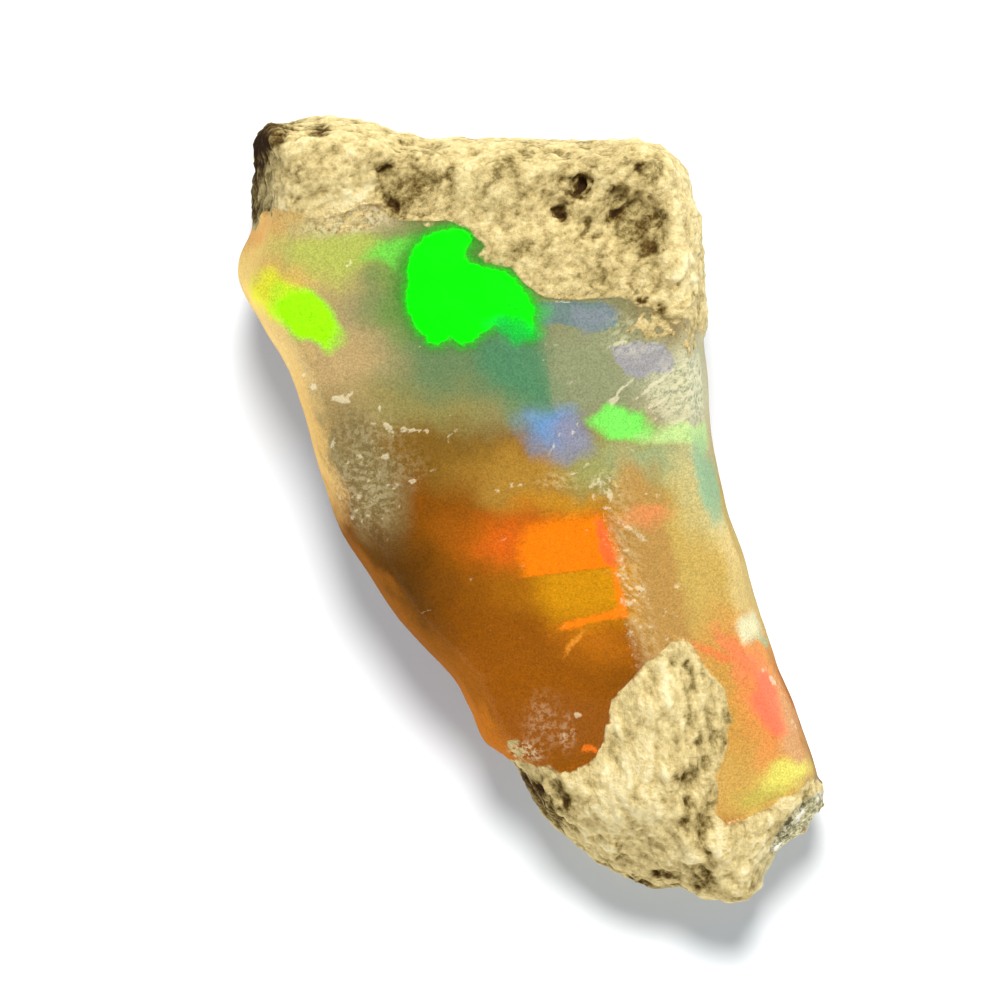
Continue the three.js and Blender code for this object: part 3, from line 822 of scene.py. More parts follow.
# %% Lines of the shaped flashes
SHAPES = {  # closed lines in mm
    "green": [
        (-4.4, 9.8), (-3.9, 10.3), (-3.3, 10.5), (-2.8, 10.55), (-2.45, 10.45), (-2.2, 10.3), (-2.3, 10.05),
        (-2.5, 9.8), (-2.5, 9.5), (-2.3, 9.3), (-1.7, 9.1), (-1.0, 8.95), (-0.6, 8.65), (-0.3, 8.25),
        (0.0, 7.85), (0.12, 7.5), (0.1, 6.9), (0.0, 6.5), (-0.4, 6.75), (-0.8, 6.95), (-1.3, 6.95),
        (-1.8, 6.7), (-2.2, 6.35), (-2.6, 6.25), (-2.9, 6.4), (-3.05, 6.6), (-3.2, 6.35), (-3.5, 6.25),
        (-3.8, 6.3), (-3.95, 6.55), (-4.2, 6.7), (-4.4, 7.1), (-4.6, 7.5), (-4.65, 8.0), (-4.6, 8.7),
        (-4.6, 9.3),
    ],
    "teal": [
        (-2.0, 6.3), (-0.6, 6.7), (0.2, 6.3), (0.5, 5.7), (0.75, 5.0), (0.85, 4.3), (0.85, 3.7),
        (0.2, 3.9), (-0.6, 4.2), (-1.4, 4.7), (-2.0, 5.4),
    ],
    "slate": [
        (0.15, 7.8), (1.1, 7.85), (2.7, 7.8), (3.1, 7.6), (3.4, 6.9), (2.7, 6.65), (1.9, 6.8),
        (1.1, 7.0), (0.5, 6.9), (0.15, 7.0),
    ],
    "lilac": [
        (3.1, 6.1), (4.1, 6.35), (5.1, 6.2), (5.5, 5.6), (5.3, 5.1), (4.7, 5.1), (4.1, 4.9), (3.6, 5.1),
        (3.3, 5.5),
    ],
    "orange": [
        (-0.1, -0.8), (1.0, -0.4), (2.7, -0.3), (3.1, -1.2), (3.4, -2.2), (3.5, -3.2), (1.0, -3.4),
        (0.0, -3.2), (-0.3, -2.1), (-0.4, -1.4),
    ],
    "gold": [
        (0.4, -1.7), (3.6, -1.5), (3.8, -3.0), (3.9, -4.1), (3.0, -4.1), (1.9, -4.3), (0.9, -4.2),
        (0.3, -3.4),
    ],
    "ember": [
        (2.5, -0.3), (2.75, -0.5), (3.0, -1.2), (3.2, -1.9), (3.25, -2.25), (2.9, -2.15), (2.65, -1.6),
        (2.55, -1.0),
    ],
    "streak": [
        (1.0, -4.6), (1.3, -4.35), (1.9, -4.2), (2.7, -4.0), (3.3, -3.8), (3.2, -3.0), (3.05, -2.3),
        (3.3, -2.3), (3.5, -3.1), (3.75, -3.9), (3.7, -4.15),
        (3.0, -4.25), (2.4, -4.35), (2.0, -4.5), (1.5, -4.65),
    ],
    "coral": [
        (8.6, -6.3), (9.05, -6.2), (9.35, -6.55), (9.45, -7.3), (9.6, -8.0), (9.75, -8.6), (9.35, -8.7),
        (8.9, -8.2), (8.55, -7.7), (8.4, -7.3), (8.65, -6.9),
    ],
}
SHARP_SIDES = {  # the sides that are sharp although the rest of the shape is soft: from, to, in mm
    "orange": ((-0.4, -2.65), (3.4, -2.2)),
    "teal": ((0.95, 3.4), (0.45, 6.6)),
    "gold": ((3.4, -2.2), (-0.4, -2.65)),
}
print("drawn flashes:", ", ".join(SHAPES))

# %% Where the surface is host rock
FILM = [  # where single grains of host rock still sit on the opal, as ovals like those above
    (4.9, 7.0, 1.3, 0.75, 25, 0.95),
    (6.2, 6.6, 0.7, 0.9, 0, 0.8),
    (-6.7, 10.9, 1.9, 0.5, 8, 0.75),
    (-1.4, 9.6, 0.5, 0.35, 0, 0.8),
    (-0.5, -9.2, 0.6, 0.3, -30, 0.85),
]
FACET = (10.27, -12.1, 1.85, 0.6, 50, 1.0)  # the glassy facet, as such an oval
NONE = -2.0  # mm: far enough outside that no host rock shows
SKIN_TOP, SKIN_WAVES = 1.5, 1.5  # mm: how high that skin goes up the walls, and how much that varies


def skin_of_rock(surface, on_wall):
    """Distance in mm inside the host rock that covers the lowest part of the walls."""
    wavy = SKIN_TOP - surface[:, 2] + SKIN_WAVES * random_field(surface, 3.0, 3, 1.7)
    return np.where(on_wall > 0.3, wavy, NONE)


def film_of_grains(surface, depth):
    """The same for the single grains that still sit on the opal near the edge."""
    near = ovals(surface, FILM)
    patchy = 0.6 * near - 0.42 + 0.5 * random_field(surface, 0.35, 3, 6.6)  # above zero on a grain
    return np.where((near > 0.05) & (depth < 1.0), patchy, -1)


surface = read_points(stone.data)
depth = np.maximum(top_height(surface) - surface[:, 2], 0)
on_wall = smoothstep(0.8, 2.5, depth)  # 0 on the upper faces, 1 well down the walls
wander = 1.3 * random_field(surface, 3.4, 3, 5.5)  # mm, of the edge of the host rock on the walls
facet = ovals(surface, [FACET])
rock_edge = np.maximum(rock + on_wall * wander, skin_of_rock(surface, on_wall))
rock_edge = np.maximum(rock_edge, film_of_grains(surface, depth))
rock_edge += 0.06 * random_field(surface, 0.2, 2, 2.9)  # frays it all round
rock_edge = np.minimum(rock_edge, 0.4 - 0.8 * facet)  # no host rock on the facet
tone = np.where(rock < 0, 0.5, tone)  # an even tone for the film, which has no relief of its own
frost = np.maximum(frost, smoothstep(0.3, 0.7, facet))  # the facet is all splinters
print("share that looks like host rock:", round(float(np.mean(rock_edge > 0)), 2))

# %% [markdown]
# Light that goes into the opal on the lit side comes out again on the walls turned away from it. To
# trace that takes many samples, so the walls get a faint light of their own instead, where they turn
# away from the lamp.

# %% Light that comes through
KEY_WAY = Vector((0.22, 0.62, 0.75)).normalized()  # from the stone to the light
LIT_ENOUGH = 0.55  # the cosine to that light from which a face needs no light from inside

turned_away = np.clip(1 - read_normals(stone.data) @ np.array(KEY_WAY) / LIT_ENOUGH, 0, 1)
deeper = 0.6 + 0.4 * smoothstep(0.5, 2.5, depth)  # weaker just below the upper faces
lit_through = turned_away * deeper * smoothstep(8.0, 4.0, depth)  # and gone near the floor
print("most light from inside:", round(float(lit_through.max()), 2))

# %% Keep the numbers
SHARPNESS = 7  # how many times as sharp the sharp sides are
SHAPE_SINK = 0.6  # mm: how far down the walls a shaped flash goes


def keep(mesh, name, values):
    """One number or one place for each point, which the material reads by its name."""
    kind, field = ("FLOAT", "value") if values.ndim == 1 else ("FLOAT_VECTOR", "vector")
    layer = mesh.attributes.new(name, kind, "POINT")
    layer.data.foreach_set(field, values.astype(np.float32).reshape(-1))


numbers = {
    "rock_edge": np.clip(rock_edge, -3, 3), "depth": depth, "tone": tone,
    "frost": frost, "flecks": flecks, "lit_through": lit_through,
}
for name, line in SHAPES.items():
    inside = distance_inside(surface[:, :2], line)
    if name in SHARP_SIDES:
        a, b = (np.array(end) for end in SHARP_SIDES[name])
        across = (b - a)[::-1] * (-1, 1) / np.linalg.norm(b - a)
        inside = np.minimum(inside, SHARPNESS * ((surface[:, :2] - a) @ across))
    numbers[name] = inside - np.maximum(depth - SHAPE_SINK, 0)
for name, values in numbers.items():
    keep(stone.data, name, values)
print("numbers at each point:", len(numbers))

# %% Keep the places
BRUISE_WAY = (-42, 2.8)  # the turn of the splinters in degrees, and how many times as long as wide
UPPER_RIGHT_WAY = (38, 1.8)  # the same on the frosted upper right
UPPER_RIGHT = (3, 2.5)  # mm: its lower left corner

opal_here = rock_edge[:, None] < -0.1
in_bruise = opal_here & (bruise[:, None] > 0.02)
upper_right = opal_here & (surface[:, :1] > UPPER_RIGHT[0]) & (surface[:, 1:2] > UPPER_RIGHT[1])
splinter_way = np.where(in_bruise, streaked(surface, *BRUISE_WAY), surface)
splinter_way = np.where(upper_right, streaked(surface, *UPPER_RIGHT_WAY), splinter_way)
places = {
    "bend": drift(surface, 1.3, 0.45, 11.0) - surface,
    "grain_way": grain_way,
    "splinter_way": splinter_way,
}
for name, values in places.items():
    keep(stone.data, name, values)
print("places at each point:", len(places))

# %% [markdown]
# The skin is back in metres now and takes the place of the plain solid: it rides on the root body,
# and the plain solid is hidden.

# %% Put the stone in the frame
stone.data.transform(Matrix.Scale(MM, 4))
stone.data.shade_smooth()
stone.name = "opal_in_host_rock"
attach(stone, "root")
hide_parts("rough_opal")
print("in the frame:", stone.name)

# %% [markdown]
# ## Tools for the material
#
# Colours are written as the sRGB hex values that a colour picker shows. Blender's nodes work in
# linear light, so one function turns them over. Another adds a node: it takes the kind, what goes
# into its sockets, and its settings, and hands back the output that the next node needs.

# %% Colour and node helpers
def linear(hex_colour):
    """The linear colour with alpha of an sRGB hex value such as #c8b57f."""
    parts = [int(hex_colour[i:i + 2], 16) / 255 for i in (1, 3, 5)]
    return tuple(c / 12.92 if c <= 0.04045 else ((c + 0.055) / 1.055) ** 2.4 for c in parts) + (1.0,)


def new_material(name):
    made = bpy.data.materials.new(name)
    made.use_nodes = True
    made.node_tree.nodes.clear()
    return made


def node(tree, kind, sockets=None, out=0, **settings):
    """Adds one node and returns one of its outputs. Sockets maps inputs to values or to other outputs."""
    made = tree.nodes.new("ShaderNode" + kind)
    for name, value in settings.items():
        setattr(made, name, value)
    for socket, value in (sockets or {}).items():
        if isinstance(value, bpy.types.NodeSocket):
            tree.links.new(value, made.inputs[socket])
        else:
            made.inputs[socket].default_value = value
    return made.outputs[out] if made.outputs else None


print("mid grey #808080 in linear light:", round(linear("#808080")[0], 3))

# %% [markdown]
# ## Precious opal in volcanic host rock
#
# Opal is silica with a little water, clear to milky, of IOR 1.45 and with a glassy broken surface.
# Light goes into it and comes back tinted, so it is partly see-through. Inside it, stacks of tiny
# silica balls split light, and each stack shows one pure colour in a patch with its own edge: the
# play of colour. Those patches could be an image, but then they would be no one's but the
# photograph's. Here each patch is a listed ellipse or one of the drawn shapes, and one noise
# bends all their edges.

# %% Where the material is
FINE_CLOUD = 0.22  # mm, the lumps of the noise that frays the edges of the patches
FINE_REACH = 0.3  # mm, how far it frays them

material = new_material("precious_opal_in_volcanic_host_rock")
material.cycles.emission_sampling = "NONE"  # its glow is too faint to light other things
tree = material.node_tree
kept = {name: node(tree, "Attribute", out=2, attribute_name=name) for name in numbers}
kept |= {name: node(tree, "Attribute", out=1, attribute_name=name) for name in places}

in_mm = node(tree, "VectorMath", {0: node(tree, "TexCoord", out=3), "Scale": 1 / MM}, operation="SCALE")
fine_cloud = node(tree, "TexNoise", {"Vector": in_mm, "Scale": 1 / FINE_CLOUD, "Detail": 2.0}, out=1)
fine_bend = node(tree, "VectorMath", {0: fine_cloud, 1: (0.5, 0.5, 0.5)}, operation="SUBTRACT")
fine_bend = node(tree, "VectorMath", {0: fine_bend, "Scale": FINE_REACH}, operation="SCALE")
fray = node(tree, "SeparateXYZ", {0: fine_bend}, out=0)
flat = node(tree, "VectorMath", {0: in_mm, 1: (1, 1, 0)}, operation="MULTIPLY")
sunk = node(tree, "CombineXYZ", {"Z": kept["depth"]})
on_top = node(tree, "VectorMath", {0: flat, 1: sunk}, operation="ADD")
bent = node(tree, "VectorMath", {0: on_top, 1: kept["bend"]}, operation="ADD")
bent = node(tree, "VectorMath", {0: bent, 1: fine_bend}, operation="ADD")
print("kept numbers and places that the material reads:", len(kept))

# %% [markdown]
# ### Body colours
#
# The body goes from a deep amber at the lower left to milky grey green at the top, honey along the
# right, and tan on the left lobe. The patches are listed from the widest and softest to the smallest
# and sharpest, and each is laid over those before it. A softness of 0.1 is a sharp edge and 1 a long
# fade.

# %% Soft patches of the body
BODY = "#935605"  # deep amber
SOFT_PATCHES = [  # x, y, half length, half width in mm, turn in degrees, softness, colour, strength
    (8.0, 1.0, 2.3, 8.0, 0, 0.4, "#cfae68", 0.9),  # honey along the whole right wall
    (-5.1, -2.7, 3.2, 1.3, -50, 0.9, "#553603", 0.9),  # shadowed amber
    (0.4, -6.9, 3.6, 2.0, -40, 0.8, "#a86006", 0.8),  # warm lower amber
    (2.5, -4.9, 1.4, 0.9, -25, 0.9, "#d07a12", 0.85),  # warmer still below the orange flash
    # painted light: a brighter amber along the thin lower left edge, for light coming out of it from inside
    (-1.6, -8.6, 2.2, 0.45, -50, 0.8, "#ba6c0c", 0.9),  # lower left edge
    (-3.0, 7.1, 9.0, 4.4, -6, 0.3, "#94946b", 1.0),  # milky window
    (-7.0, 5.2, 2.6, 2.0, -30, 0.7, "#c9ad79", 0.9),  # rose tan
    (-9.3, 9.8, 2.8, 2.2, 0, 0.6, "#dcbf76", 0.95),  # left lobe
    (-10.6, 9.3, 1.0, 2.2, -8, 0.5, "#e2c271", 0.95),  # peach rim
    (-9.5, 6.0, 3.2, 0.8, -62, 0.6, "#e3c37d", 0.9),  # the same further down
    (-10.4, 10.5, 1.0, 0.6, 35, 0.8, "#dc9c58", 0.7),  # peach at the top of the lobe
    (-9.2, 8.95, 0.9, 0.4, -20, 0.8, "#ecac6c", 0.7),  # and above the lime flash
    (-7.4, 9.7, 2.0, 1.0, 0, 0.7, "#bccb60", 0.9),  # green wash
    (-6.9, 10.8, 1.9, 0.6, 6, 0.5, "#bfb084", 0.9),  # grainy film below the host rock
    (-3.6, 3.9, 2.8, 1.3, 0, 0.7, "#9c9354", 0.9),  # olive
    (-3.4, 2.0, 4.2, 1.1, -4, 0.7, "#8c6822", 0.9),  # brown tan
    (0.3, 1.0, 2.9, 1.2, -6, 0.6, "#c2943c", 0.9),  # tan brow
    (-6.4, 1.5, 2.8, 1.2, -65, 0.5, "#8f8052", 0.9),  # frosted left side
    (-8.2, 2.6, 2.7, 0.55, -73, 0.5, "#d8b26a", 0.95),  # pale left rim
    (6.7, -2.0, 4.6, 2.3, -72, 0.5, "#dcbd67", 0.95),  # honey right
    (3.4, 1.6, 2.1, 1.3, 0, 0.6, "#a9ab68", 0.95),  # olive right
    (4.7, 1.8, 1.9, 0.7, -5, 0.6, "#abba88", 0.95),  # grey green
    (6.4, 0.5, 1.7, 0.9, -60, 0.6, "#d9d090", 0.9),  # pale olive
    (4.55, -2.4, 4.3, 1.15, -80, 0.3, "#cb9f58", 0.95),  # tan along the bruised edge
    (8.0, -2.6, 2.8, 0.6, -68, 0.6, "#f0d68e", 0.75),  # pale right edge
    (8.5, -10.2, 2.6, 2.2, 0, 0.5, "#e6b963", 0.95),  # pale lower right
    (8.4, -7.0, 2.9, 1.6, -65, 0.5, "#fda458", 0.95),  # apricot
    (7.4, -7.2, 2.6, 0.7, -80, 0.8, "#d2ac50", 0.75),  # olive gold beside the host rock
    (9.9, -8.6, 2.4, 0.5, -68, 0.6, "#e8b27c", 0.9),  # its right edge
    (10.25, -12.1, 2.1, 0.75, 50, 0.3, "#9a9570", 1.0),  # grey facet
    # painted light: the same brighter amber along the thin left edge
    (-5.3, -3.6, 2.8, 0.4, -50, 0.8, "#985a08", 0.7),  # left edge
    (1.0, -8.3, 1.9, 1.0, 0, 0.6, "#a25f1c", 0.8),  # rosy
    (6.7, 4.9, 1.0, 2.9, 0, 0.7, "#d6d6b2", 0.85),  # frosted right wall
]
print("soft patches:", len(SOFT_PATCHES))

# %% [markdown]
# ### Play of colour
#
# A flash is purer and brighter than the body round it, so besides its colour it has a faint glow.
# Soft flashes are ellipses like the patches. Those with a clear shape are the drawn ones, and a few
# lie over them.

# %% Flashes
FLASHES = [  # the same, and how much it glows
    (-2.9, 8.4, 2.9, 2.9, 0, 0.35, "#5f9a3c", 0.9, 0.1),  # halo round the green
    (-2.5, 5.5, 2.6, 1.3, 0, 0.6, "#6f8d62", 0.9, 0.0),
    (-0.2, 5.3, 2.3, 1.2, 115, 0.6, "#57926a", 0.7, 0.1),  # deep teal
    (2.6, 5.1, 2.1, 1.8, 0, 0.5, "#9ba27c", 0.95, 0.0),  # sage
    (5.9, 4.6, 1.9, 1.7, 0, 0.5, "#c2c6a4", 0.9, 0.0),  # frosted right
    (0.9, 2.95, 1.0, 0.85, -20, 0.8, "#70a2de", 0.95, 0.15),  # blue
    (1.5, 2.7, 0.7, 0.7, 0, 0.7, "#9698b4", 0.9, 0.1),  # violet
    (1.3, 0.0, 1.9, 0.4, -3, 0.8, "#dd9c26", 0.7, 0.05),  # gold above the orange
    (-5.2, 9.8, 1.1, 0.5, 20, 0.5, "#6ee34b", 0.8, 0.3),  # streaks beside the green
    (-9.9, 8.1, 1.4, 0.85, -25, 0.5, "#dcdf2e", 0.95, 0.35),  # yellow
    (-8.5, 7.3, 1.5, 0.85, -38, 0.3, "#98ee06", 1.0, 0.7),  # lime
    (3.5, 3.2, 1.0, 0.6, 0, 0.35, "#7ef562", 0.95, 0.4),  # spring green
    (5.8, 2.8, 1.5, 0.5, -5, 0.35, "#c8ee9b", 0.9, 0.3),  # pale green
    (6.9, 1.0, 1.7, 0.6, -75, 0.4, "#a2cba0", 0.9, 0.1),  # sea green
    (-1.0, -1.2, 1.7, 1.0, 0, 0.8, "#d0700c", 0.8, 0.15),  # soft orange
    (-0.8, -1.3, 1.1, 0.9, 0, 1.0, "#f06a18", 0.7, 0.3),
    (-0.3, -3.0, 1.5, 0.9, 0, 0.8, "#b9730c", 0.7, 0.1),
    (4.4, -0.35, 0.8, 0.35, 5, 0.8, "#f2985e", 0.8, 0.2),
    (1.8, -5.0, 0.6, 0.12, 42, 0.5, "#f09a30", 0.8, 0.3),
    (7.1, -5.5, 1.1, 0.18, -28, 0.8, "#fb8750", 0.8, 0.2),
    (7.6, -5.2, 0.9, 0.2, -42, 0.8, "#fb8e5e", 0.7, 0.2),
    (8.2, -6.0, 0.5, 0.8, 20, 0.8, "#fd8a62", 0.7, 0.2),
    (8.4, -4.6, 0.65, 0.5, -30, 0.5, "#f0eec2", 0.9, 0.3),  # white flash
    (8.9, -4.1, 0.35, 0.2, -60, 0.5, "#e6e34a", 0.8, 0.3),
    (9.0, -5.1, 0.3, 0.22, 0, 0.6, "#9fe0b8", 0.7, 0.2),
    (9.0, -10.9, 0.9, 0.4, 30, 1.0, "#ccc95c", 0.7, 0.1),
    (9.8, -10.2, 1.0, 0.5, 5, 0.7, "#eeea72", 0.9, 0.3),  # lemon
    # painted glints: white glowing spots for the glitter of the facet
    (10.95, -10.9, 0.25, 0.12, 60, 0.5, "#ffffff", 0.9, 0.3),  # sparkles on the facet
    (10.35, -11.9, 0.3, 0.1, 50, 0.5, "#ffffff", 0.9, 0.3),
    (9.4, -12.9, 0.35, 0.13, 50, 0.4, "#ffffff", 0.9, 0.3),
    (10.4, -11.5, 0.5, 0.1, 48, 0.4, "#524c34", 0.8, 0.0),  # dark cracks between them
    (9.7, -12.3, 0.4, 0.09, 44, 0.4, "#524c34", 0.8, 0.0),
    (2.3, -9.1, 0.25, 0.15, 0, 0.4, "#f27a1e", 0.9, 0.4),
]
SHAPED = [  # shape, distances in mm at which it starts and is full, colour, strength, how much it glows
    ("teal", -0.5, 0.5, "#559068", 0.85, 0.1),
    ("slate", -0.03, 0.05, "#76908f", 0.95, 0.0),
    ("lilac", -0.06, 0.08, "#aaaab1", 0.95, 0.0),
    ("green", -0.7, 0.0, "#3f8a34", 0.7, 0.1),
    ("green", -0.4, 0.05, "#2ec41e", 0.8, 0.4),
    ("green", -0.1, 0.06, "#03ff01", 1.0, 1.0),
    ("gold", -0.8, 0.7, "#dc9709", 0.95, 0.3),
    ("orange", -0.45, 0.35, "#f88407", 1.0, 0.5),
    ("ember", -0.1, 0.08, "#fb7133", 0.95, 0.5),
    ("streak", -0.1, 0.12, "#fb860f", 0.95, 0.5),
    ("coral", -0.25, 0.2, "#ff8260", 1.0, 0.4),
]
LATE_FLASHES = [  # laid over the shaped ones
    (2.5, 7.2, 0.9, 0.5, 0, 0.4, "#8c98a4", 0.9, 0.0),
    (-0.6, 6.7, 0.9, 0.4, -8, 0.6, "#1dc24c", 0.9, 0.3),
    (-0.35, 7.5, 0.7, 0.8, 0, 0.9, "#08dc08", 0.7, 0.6),
]
print("flashes:", len(FLASHES + SHAPED + LATE_FLASHES))

# %% [markdown]
# A patch is a Mapping node that turns its ellipse into a unit ball, and a MapRange node that fades it
# from the ball's edge. Depth below the upper faces is its third direction, so a patch goes down the
# wall below it too.

# %% Lay the patches over each other
SINK = 7.0  # mm: a patch seen on top also shows this far down the wall below it
FLASH_SINK = 2.2  # mm: the same for a flash
FLASH_LIGHT = 0.35  # the light of a flash that glows fully
COLOURS = {"out": 2, "data_type": "RGBA"}  # for a Mix node: 0 the share, 6 the lower colour, 7 the upper
SOFTLY = {"interpolation_type": "SMOOTHSTEP"}  # for a MapRange node: 0 the value, 1 and 2 from, 3 and 4 to
BLACK = (0, 0, 0, 1)


def patch(x, y, length, width, turn, softness, strength, sink=SINK):
    """How much of a patch shows at each place, from 0 to its strength."""
    local = node(tree, "Mapping", {
        "Vector": bent,
        "Location": (x, y, 0),
        "Rotation": (0, 0, math.radians(turn)),
        "Scale": (length, width, sink),
    }, vector_type="TEXTURE")
    reach = node(tree, "VectorMath", {0: local}, out=1, operation="LENGTH")
    start, full = 1 + softness, 1 - softness
    return node(tree, "MapRange", {0: reach, 1: start, 2: full, 3: 0.0, 4: strength}, **SOFTLY)


def shape(name, start, full, strength):
    """How much of a drawn shape shows at each place, from 0 to its strength."""
    frayed = node(tree, "Math", {0: kept[name], 1: fray}, operation="ADD")
    return node(tree, "MapRange", {0: frayed, 1: start, 2: full, 3: 0.0, 4: strength}, **SOFTLY)


opal_colour = linear(BODY)
for *where, colour, strength in SOFT_PATCHES:
    share = patch(*where, strength)
    opal_colour = node(tree, "Mix", {0: share, 6: opal_colour, 7: linear(colour)}, **COLOURS)

glow = BLACK
for *where, colour, strength, light in FLASHES + SHAPED + LATE_FLASHES:
    share = shape(*where, strength) if where[0] in SHAPES else patch(*where, strength, FLASH_SINK)
    own = tuple(FLASH_LIGHT * light * c for c in linear(colour)[:3]) + (1.0,)
    opal_colour = node(tree, "Mix", {0: share, 6: opal_colour, 7: linear(colour)}, **COLOURS)
    glow = node(tree, "Mix", {0: share, 6: glow, 7: own}, **COLOURS)
print("patches of colour:", len(SOFT_PATCHES + FLASHES + SHAPED + LATE_FLASHES))

# %% [markdown]
# ### Frost and splinters
#
# Where the break is rough, the surface scatters light before it can go in, so it looks paler and
# whitish, and speckled at a fifth of a millimetre, with painted shade in the gaps between the
# splinters. In the bruise and on the upper right the speckles are long, as the splinters are. Whole
# faces also have a faint mottle and a fine milky grain, as the milkiness is never even.

# %% Mottle of the whole opal
SPECKLE = 0.2  # mm, the size of the splinters
MILK_GRAIN = 0.07  # mm

splinter_place = {"Vector": kept["splinter_way"], "Scale": 1 / SPECKLE}
speckle = node(tree, "TexNoise", {**splinter_place, "Detail": 4.0, "Roughness": 0.7})
milk = node(tree, "TexNoise", {"Vector": in_mm, "Scale": 1 / MILK_GRAIN, "Detail": 1.0})
milk = node(tree, "MapRange", {0: milk, 1: 0.3, 2: 0.7, 3: -0.2, 4: 0.2})
mottle = node(tree, "MapRange", {0: speckle, 1: 0.3, 2: 0.7, 3: 0.91, 4: 1.09})
mottle = node(tree, "Math", {0: mottle, 1: milk}, operation="ADD")
tinted = node(tree, "VectorMath", {0: opal_colour, "Scale": mottle}, operation="SCALE")
print("speckles of", SPECKLE, "mm, milky grain of", MILK_GRAIN, "mm")

# %% Frosted places and flecks
# A fleck's white is the pale of a clean splinter and a painted glint.
FROST_WHITE, FLECK_GLINT_WHITE = "#e8e2be", "#f4eccc"  # crushed opal, and a clean splinter
PALER, DARKER = 0.7, 0.4  # the share of white in a splinter, and of light in the gap beside it
FLECK_PALER = 0.55  # the share of white in a fleck

paler = node(tree, "Mix", {0: PALER, 6: opal_colour, 7: linear(FROST_WHITE)}, **COLOURS)
pale = node(tree, "MapRange", {0: speckle, 1: 0.48, 2: 0.57, 3: 0.0, 4: 0.85})
pale = node(tree, "Math", {0: pale, 1: kept["frost"]}, operation="MULTIPLY")
# painted shade in the gaps beside the splinters
darker = node(tree, "VectorMath", {0: opal_colour, "Scale": DARKER}, operation="SCALE")
dark = node(tree, "MapRange", {0: speckle, 1: 0.47, 2: 0.37, 3: 0.0, 4: 0.7})
dark = node(tree, "Math", {0: dark, 1: kept["frost"]}, operation="MULTIPLY")
frosted = node(tree, "Mix", {0: pale, 6: tinted, 7: paler}, **COLOURS)
frosted = node(tree, "Mix", {0: dark, 6: frosted, 7: darker}, **COLOURS)

uneven = node(tree, "MapRange", {0: speckle, 1: 0.3, 2: 0.7, 3: 0.2, 4: 1.8})
fleck_share = node(tree, "Math", {0: kept["flecks"], 1: uneven}, operation="MULTIPLY")
fleck_share = node(tree, "MapRange", {0: fleck_share, 1: 0.25, 2: 0.7, 3: 0.0, 4: 0.9}, **SOFTLY)
splinter = node(tree, "Mix", {0: FLECK_PALER, 6: opal_colour, 7: linear(FLECK_GLINT_WHITE)}, **COLOURS)
opal_face = node(tree, "Mix", {0: fleck_share, 6: frosted, 7: splinter}, **COLOURS)
print("nodes so far:", len(tree.nodes))

# %% [markdown]
# ### Host rock
#
# The host rock is weathered volcanic ash: a beige to cream stone, matte through and through, whose
# hollows hold brown iron stain and whose high grains are rubbed pale. Its tone also holds painted shade
# in the hollows and a painted highlight on the high grains. Matte means a roughness near 0.9. The tone
# is known from the carving, so the stain and the painted shade can follow the hollows. Grit finer than
# the carving is added here.

# %% Rock colours
# The dark end is iron stain and painted shade, the pale end rubbed grains and painted highlight.
ROCK_TONES = [  # tone and colour, from iron stain to rubbed grains
    (0.0, "#38230a"), (0.18, "#675024"), (0.35, "#9e8e5b"),
    (0.52, "#cfbb83"), (0.75, "#eddca3"), (1.0, "#fff4c8"),
]
GRIT = 0.35  # mm

grit_place = {"Vector": kept["grain_way"], "Scale": 1 / GRIT}
grit = node(tree, "TexNoise", {**grit_place, "Detail": 4.0, "Roughness": 0.65})
grit = node(tree, "MapRange", {0: grit, 1: 0.3, 2: 0.7, 3: -0.2, 4: 0.2})
rock_tone = node(tree, "Math", {0: kept["tone"], 1: grit}, operation="ADD")
fine_tone = node(tree, "MapRange", {0: speckle, 1: 0.3, 2: 0.7, 3: -0.14, 4: 0.14})
rock_tone = node(tree, "Math", {0: rock_tone, 1: fine_tone}, operation="ADD")
rock_colour = node(tree, "ValToRGB", {"Fac": rock_tone})
ramp = rock_colour.node.color_ramp
for element, (stop, colour) in zip(ramp.elements, (ROCK_TONES[0], ROCK_TONES[-1])):
    element.position, element.color = stop, linear(colour)
for stop, colour in ROCK_TONES[1:-1]:
    ramp.elements.new(stop).color = linear(colour)
print("tones of the host rock:", len(ramp.elements))

# %% [markdown]
# ### One surface
#
# The edge between opal and host rock is sharp to a tenth of a millimetre, but frayed by the grains.
# The kept distance is shaken by a fine noise and cut off steeply. Clean opal is glossy and lets a
# fifth of the light through, frosted opal is dull and closed, and host rock is matte and closed.

# %% Colour, gloss and clearness
OPAL_GLOSS, FROST_GLOSS, ROCK_GLOSS = 0.28, 0.7, 0.93  # roughness of each
SEE_THROUGH = 0.2  # the share of light that goes on through the opal

edge = node(tree, "Math", {0: kept["rock_edge"], 1: fray}, operation="ADD")
is_rock = node(tree, "MapRange", {0: edge, 1: -0.06, 2: 0.04})
base = node(tree, "Mix", {0: is_rock, 6: opal_face, 7: rock_colour}, **COLOURS)

broken_rough = node(tree, "Math", {0: kept["frost"], 1: fleck_share}, operation="MAXIMUM")
gloss = node(tree, "MapRange", {0: broken_rough, 3: OPAL_GLOSS, 4: FROST_GLOSS})
gloss = node(tree, "Mix", {0: is_rock, 2: gloss, 3: ROCK_GLOSS})  # of numbers: 2 the lower, 3 the upper

dull = node(tree, "Math", {0: is_rock, 1: broken_rough}, operation="MAXIMUM")
closed = node(tree, "Math", {0: dull, 1: kept["lit_through"]}, operation="MAXIMUM")
clear = node(tree, "MapRange", {0: closed, 3: SEE_THROUGH, 4: 0.0})
print("nodes so far:", len(tree.nodes))

# %% Light from inside and fine bumps
THROUGH_LIGHT = 0.6  # the light out of a wall turned away from the lamp, against the body colour
BUMP_HEIGHT = 0.13  # mm
FLECK_BUMPS, SMOOTH_BUMPS = 0.7, 0.05  # how strongly the bumps show on rough opal, and on clean opal

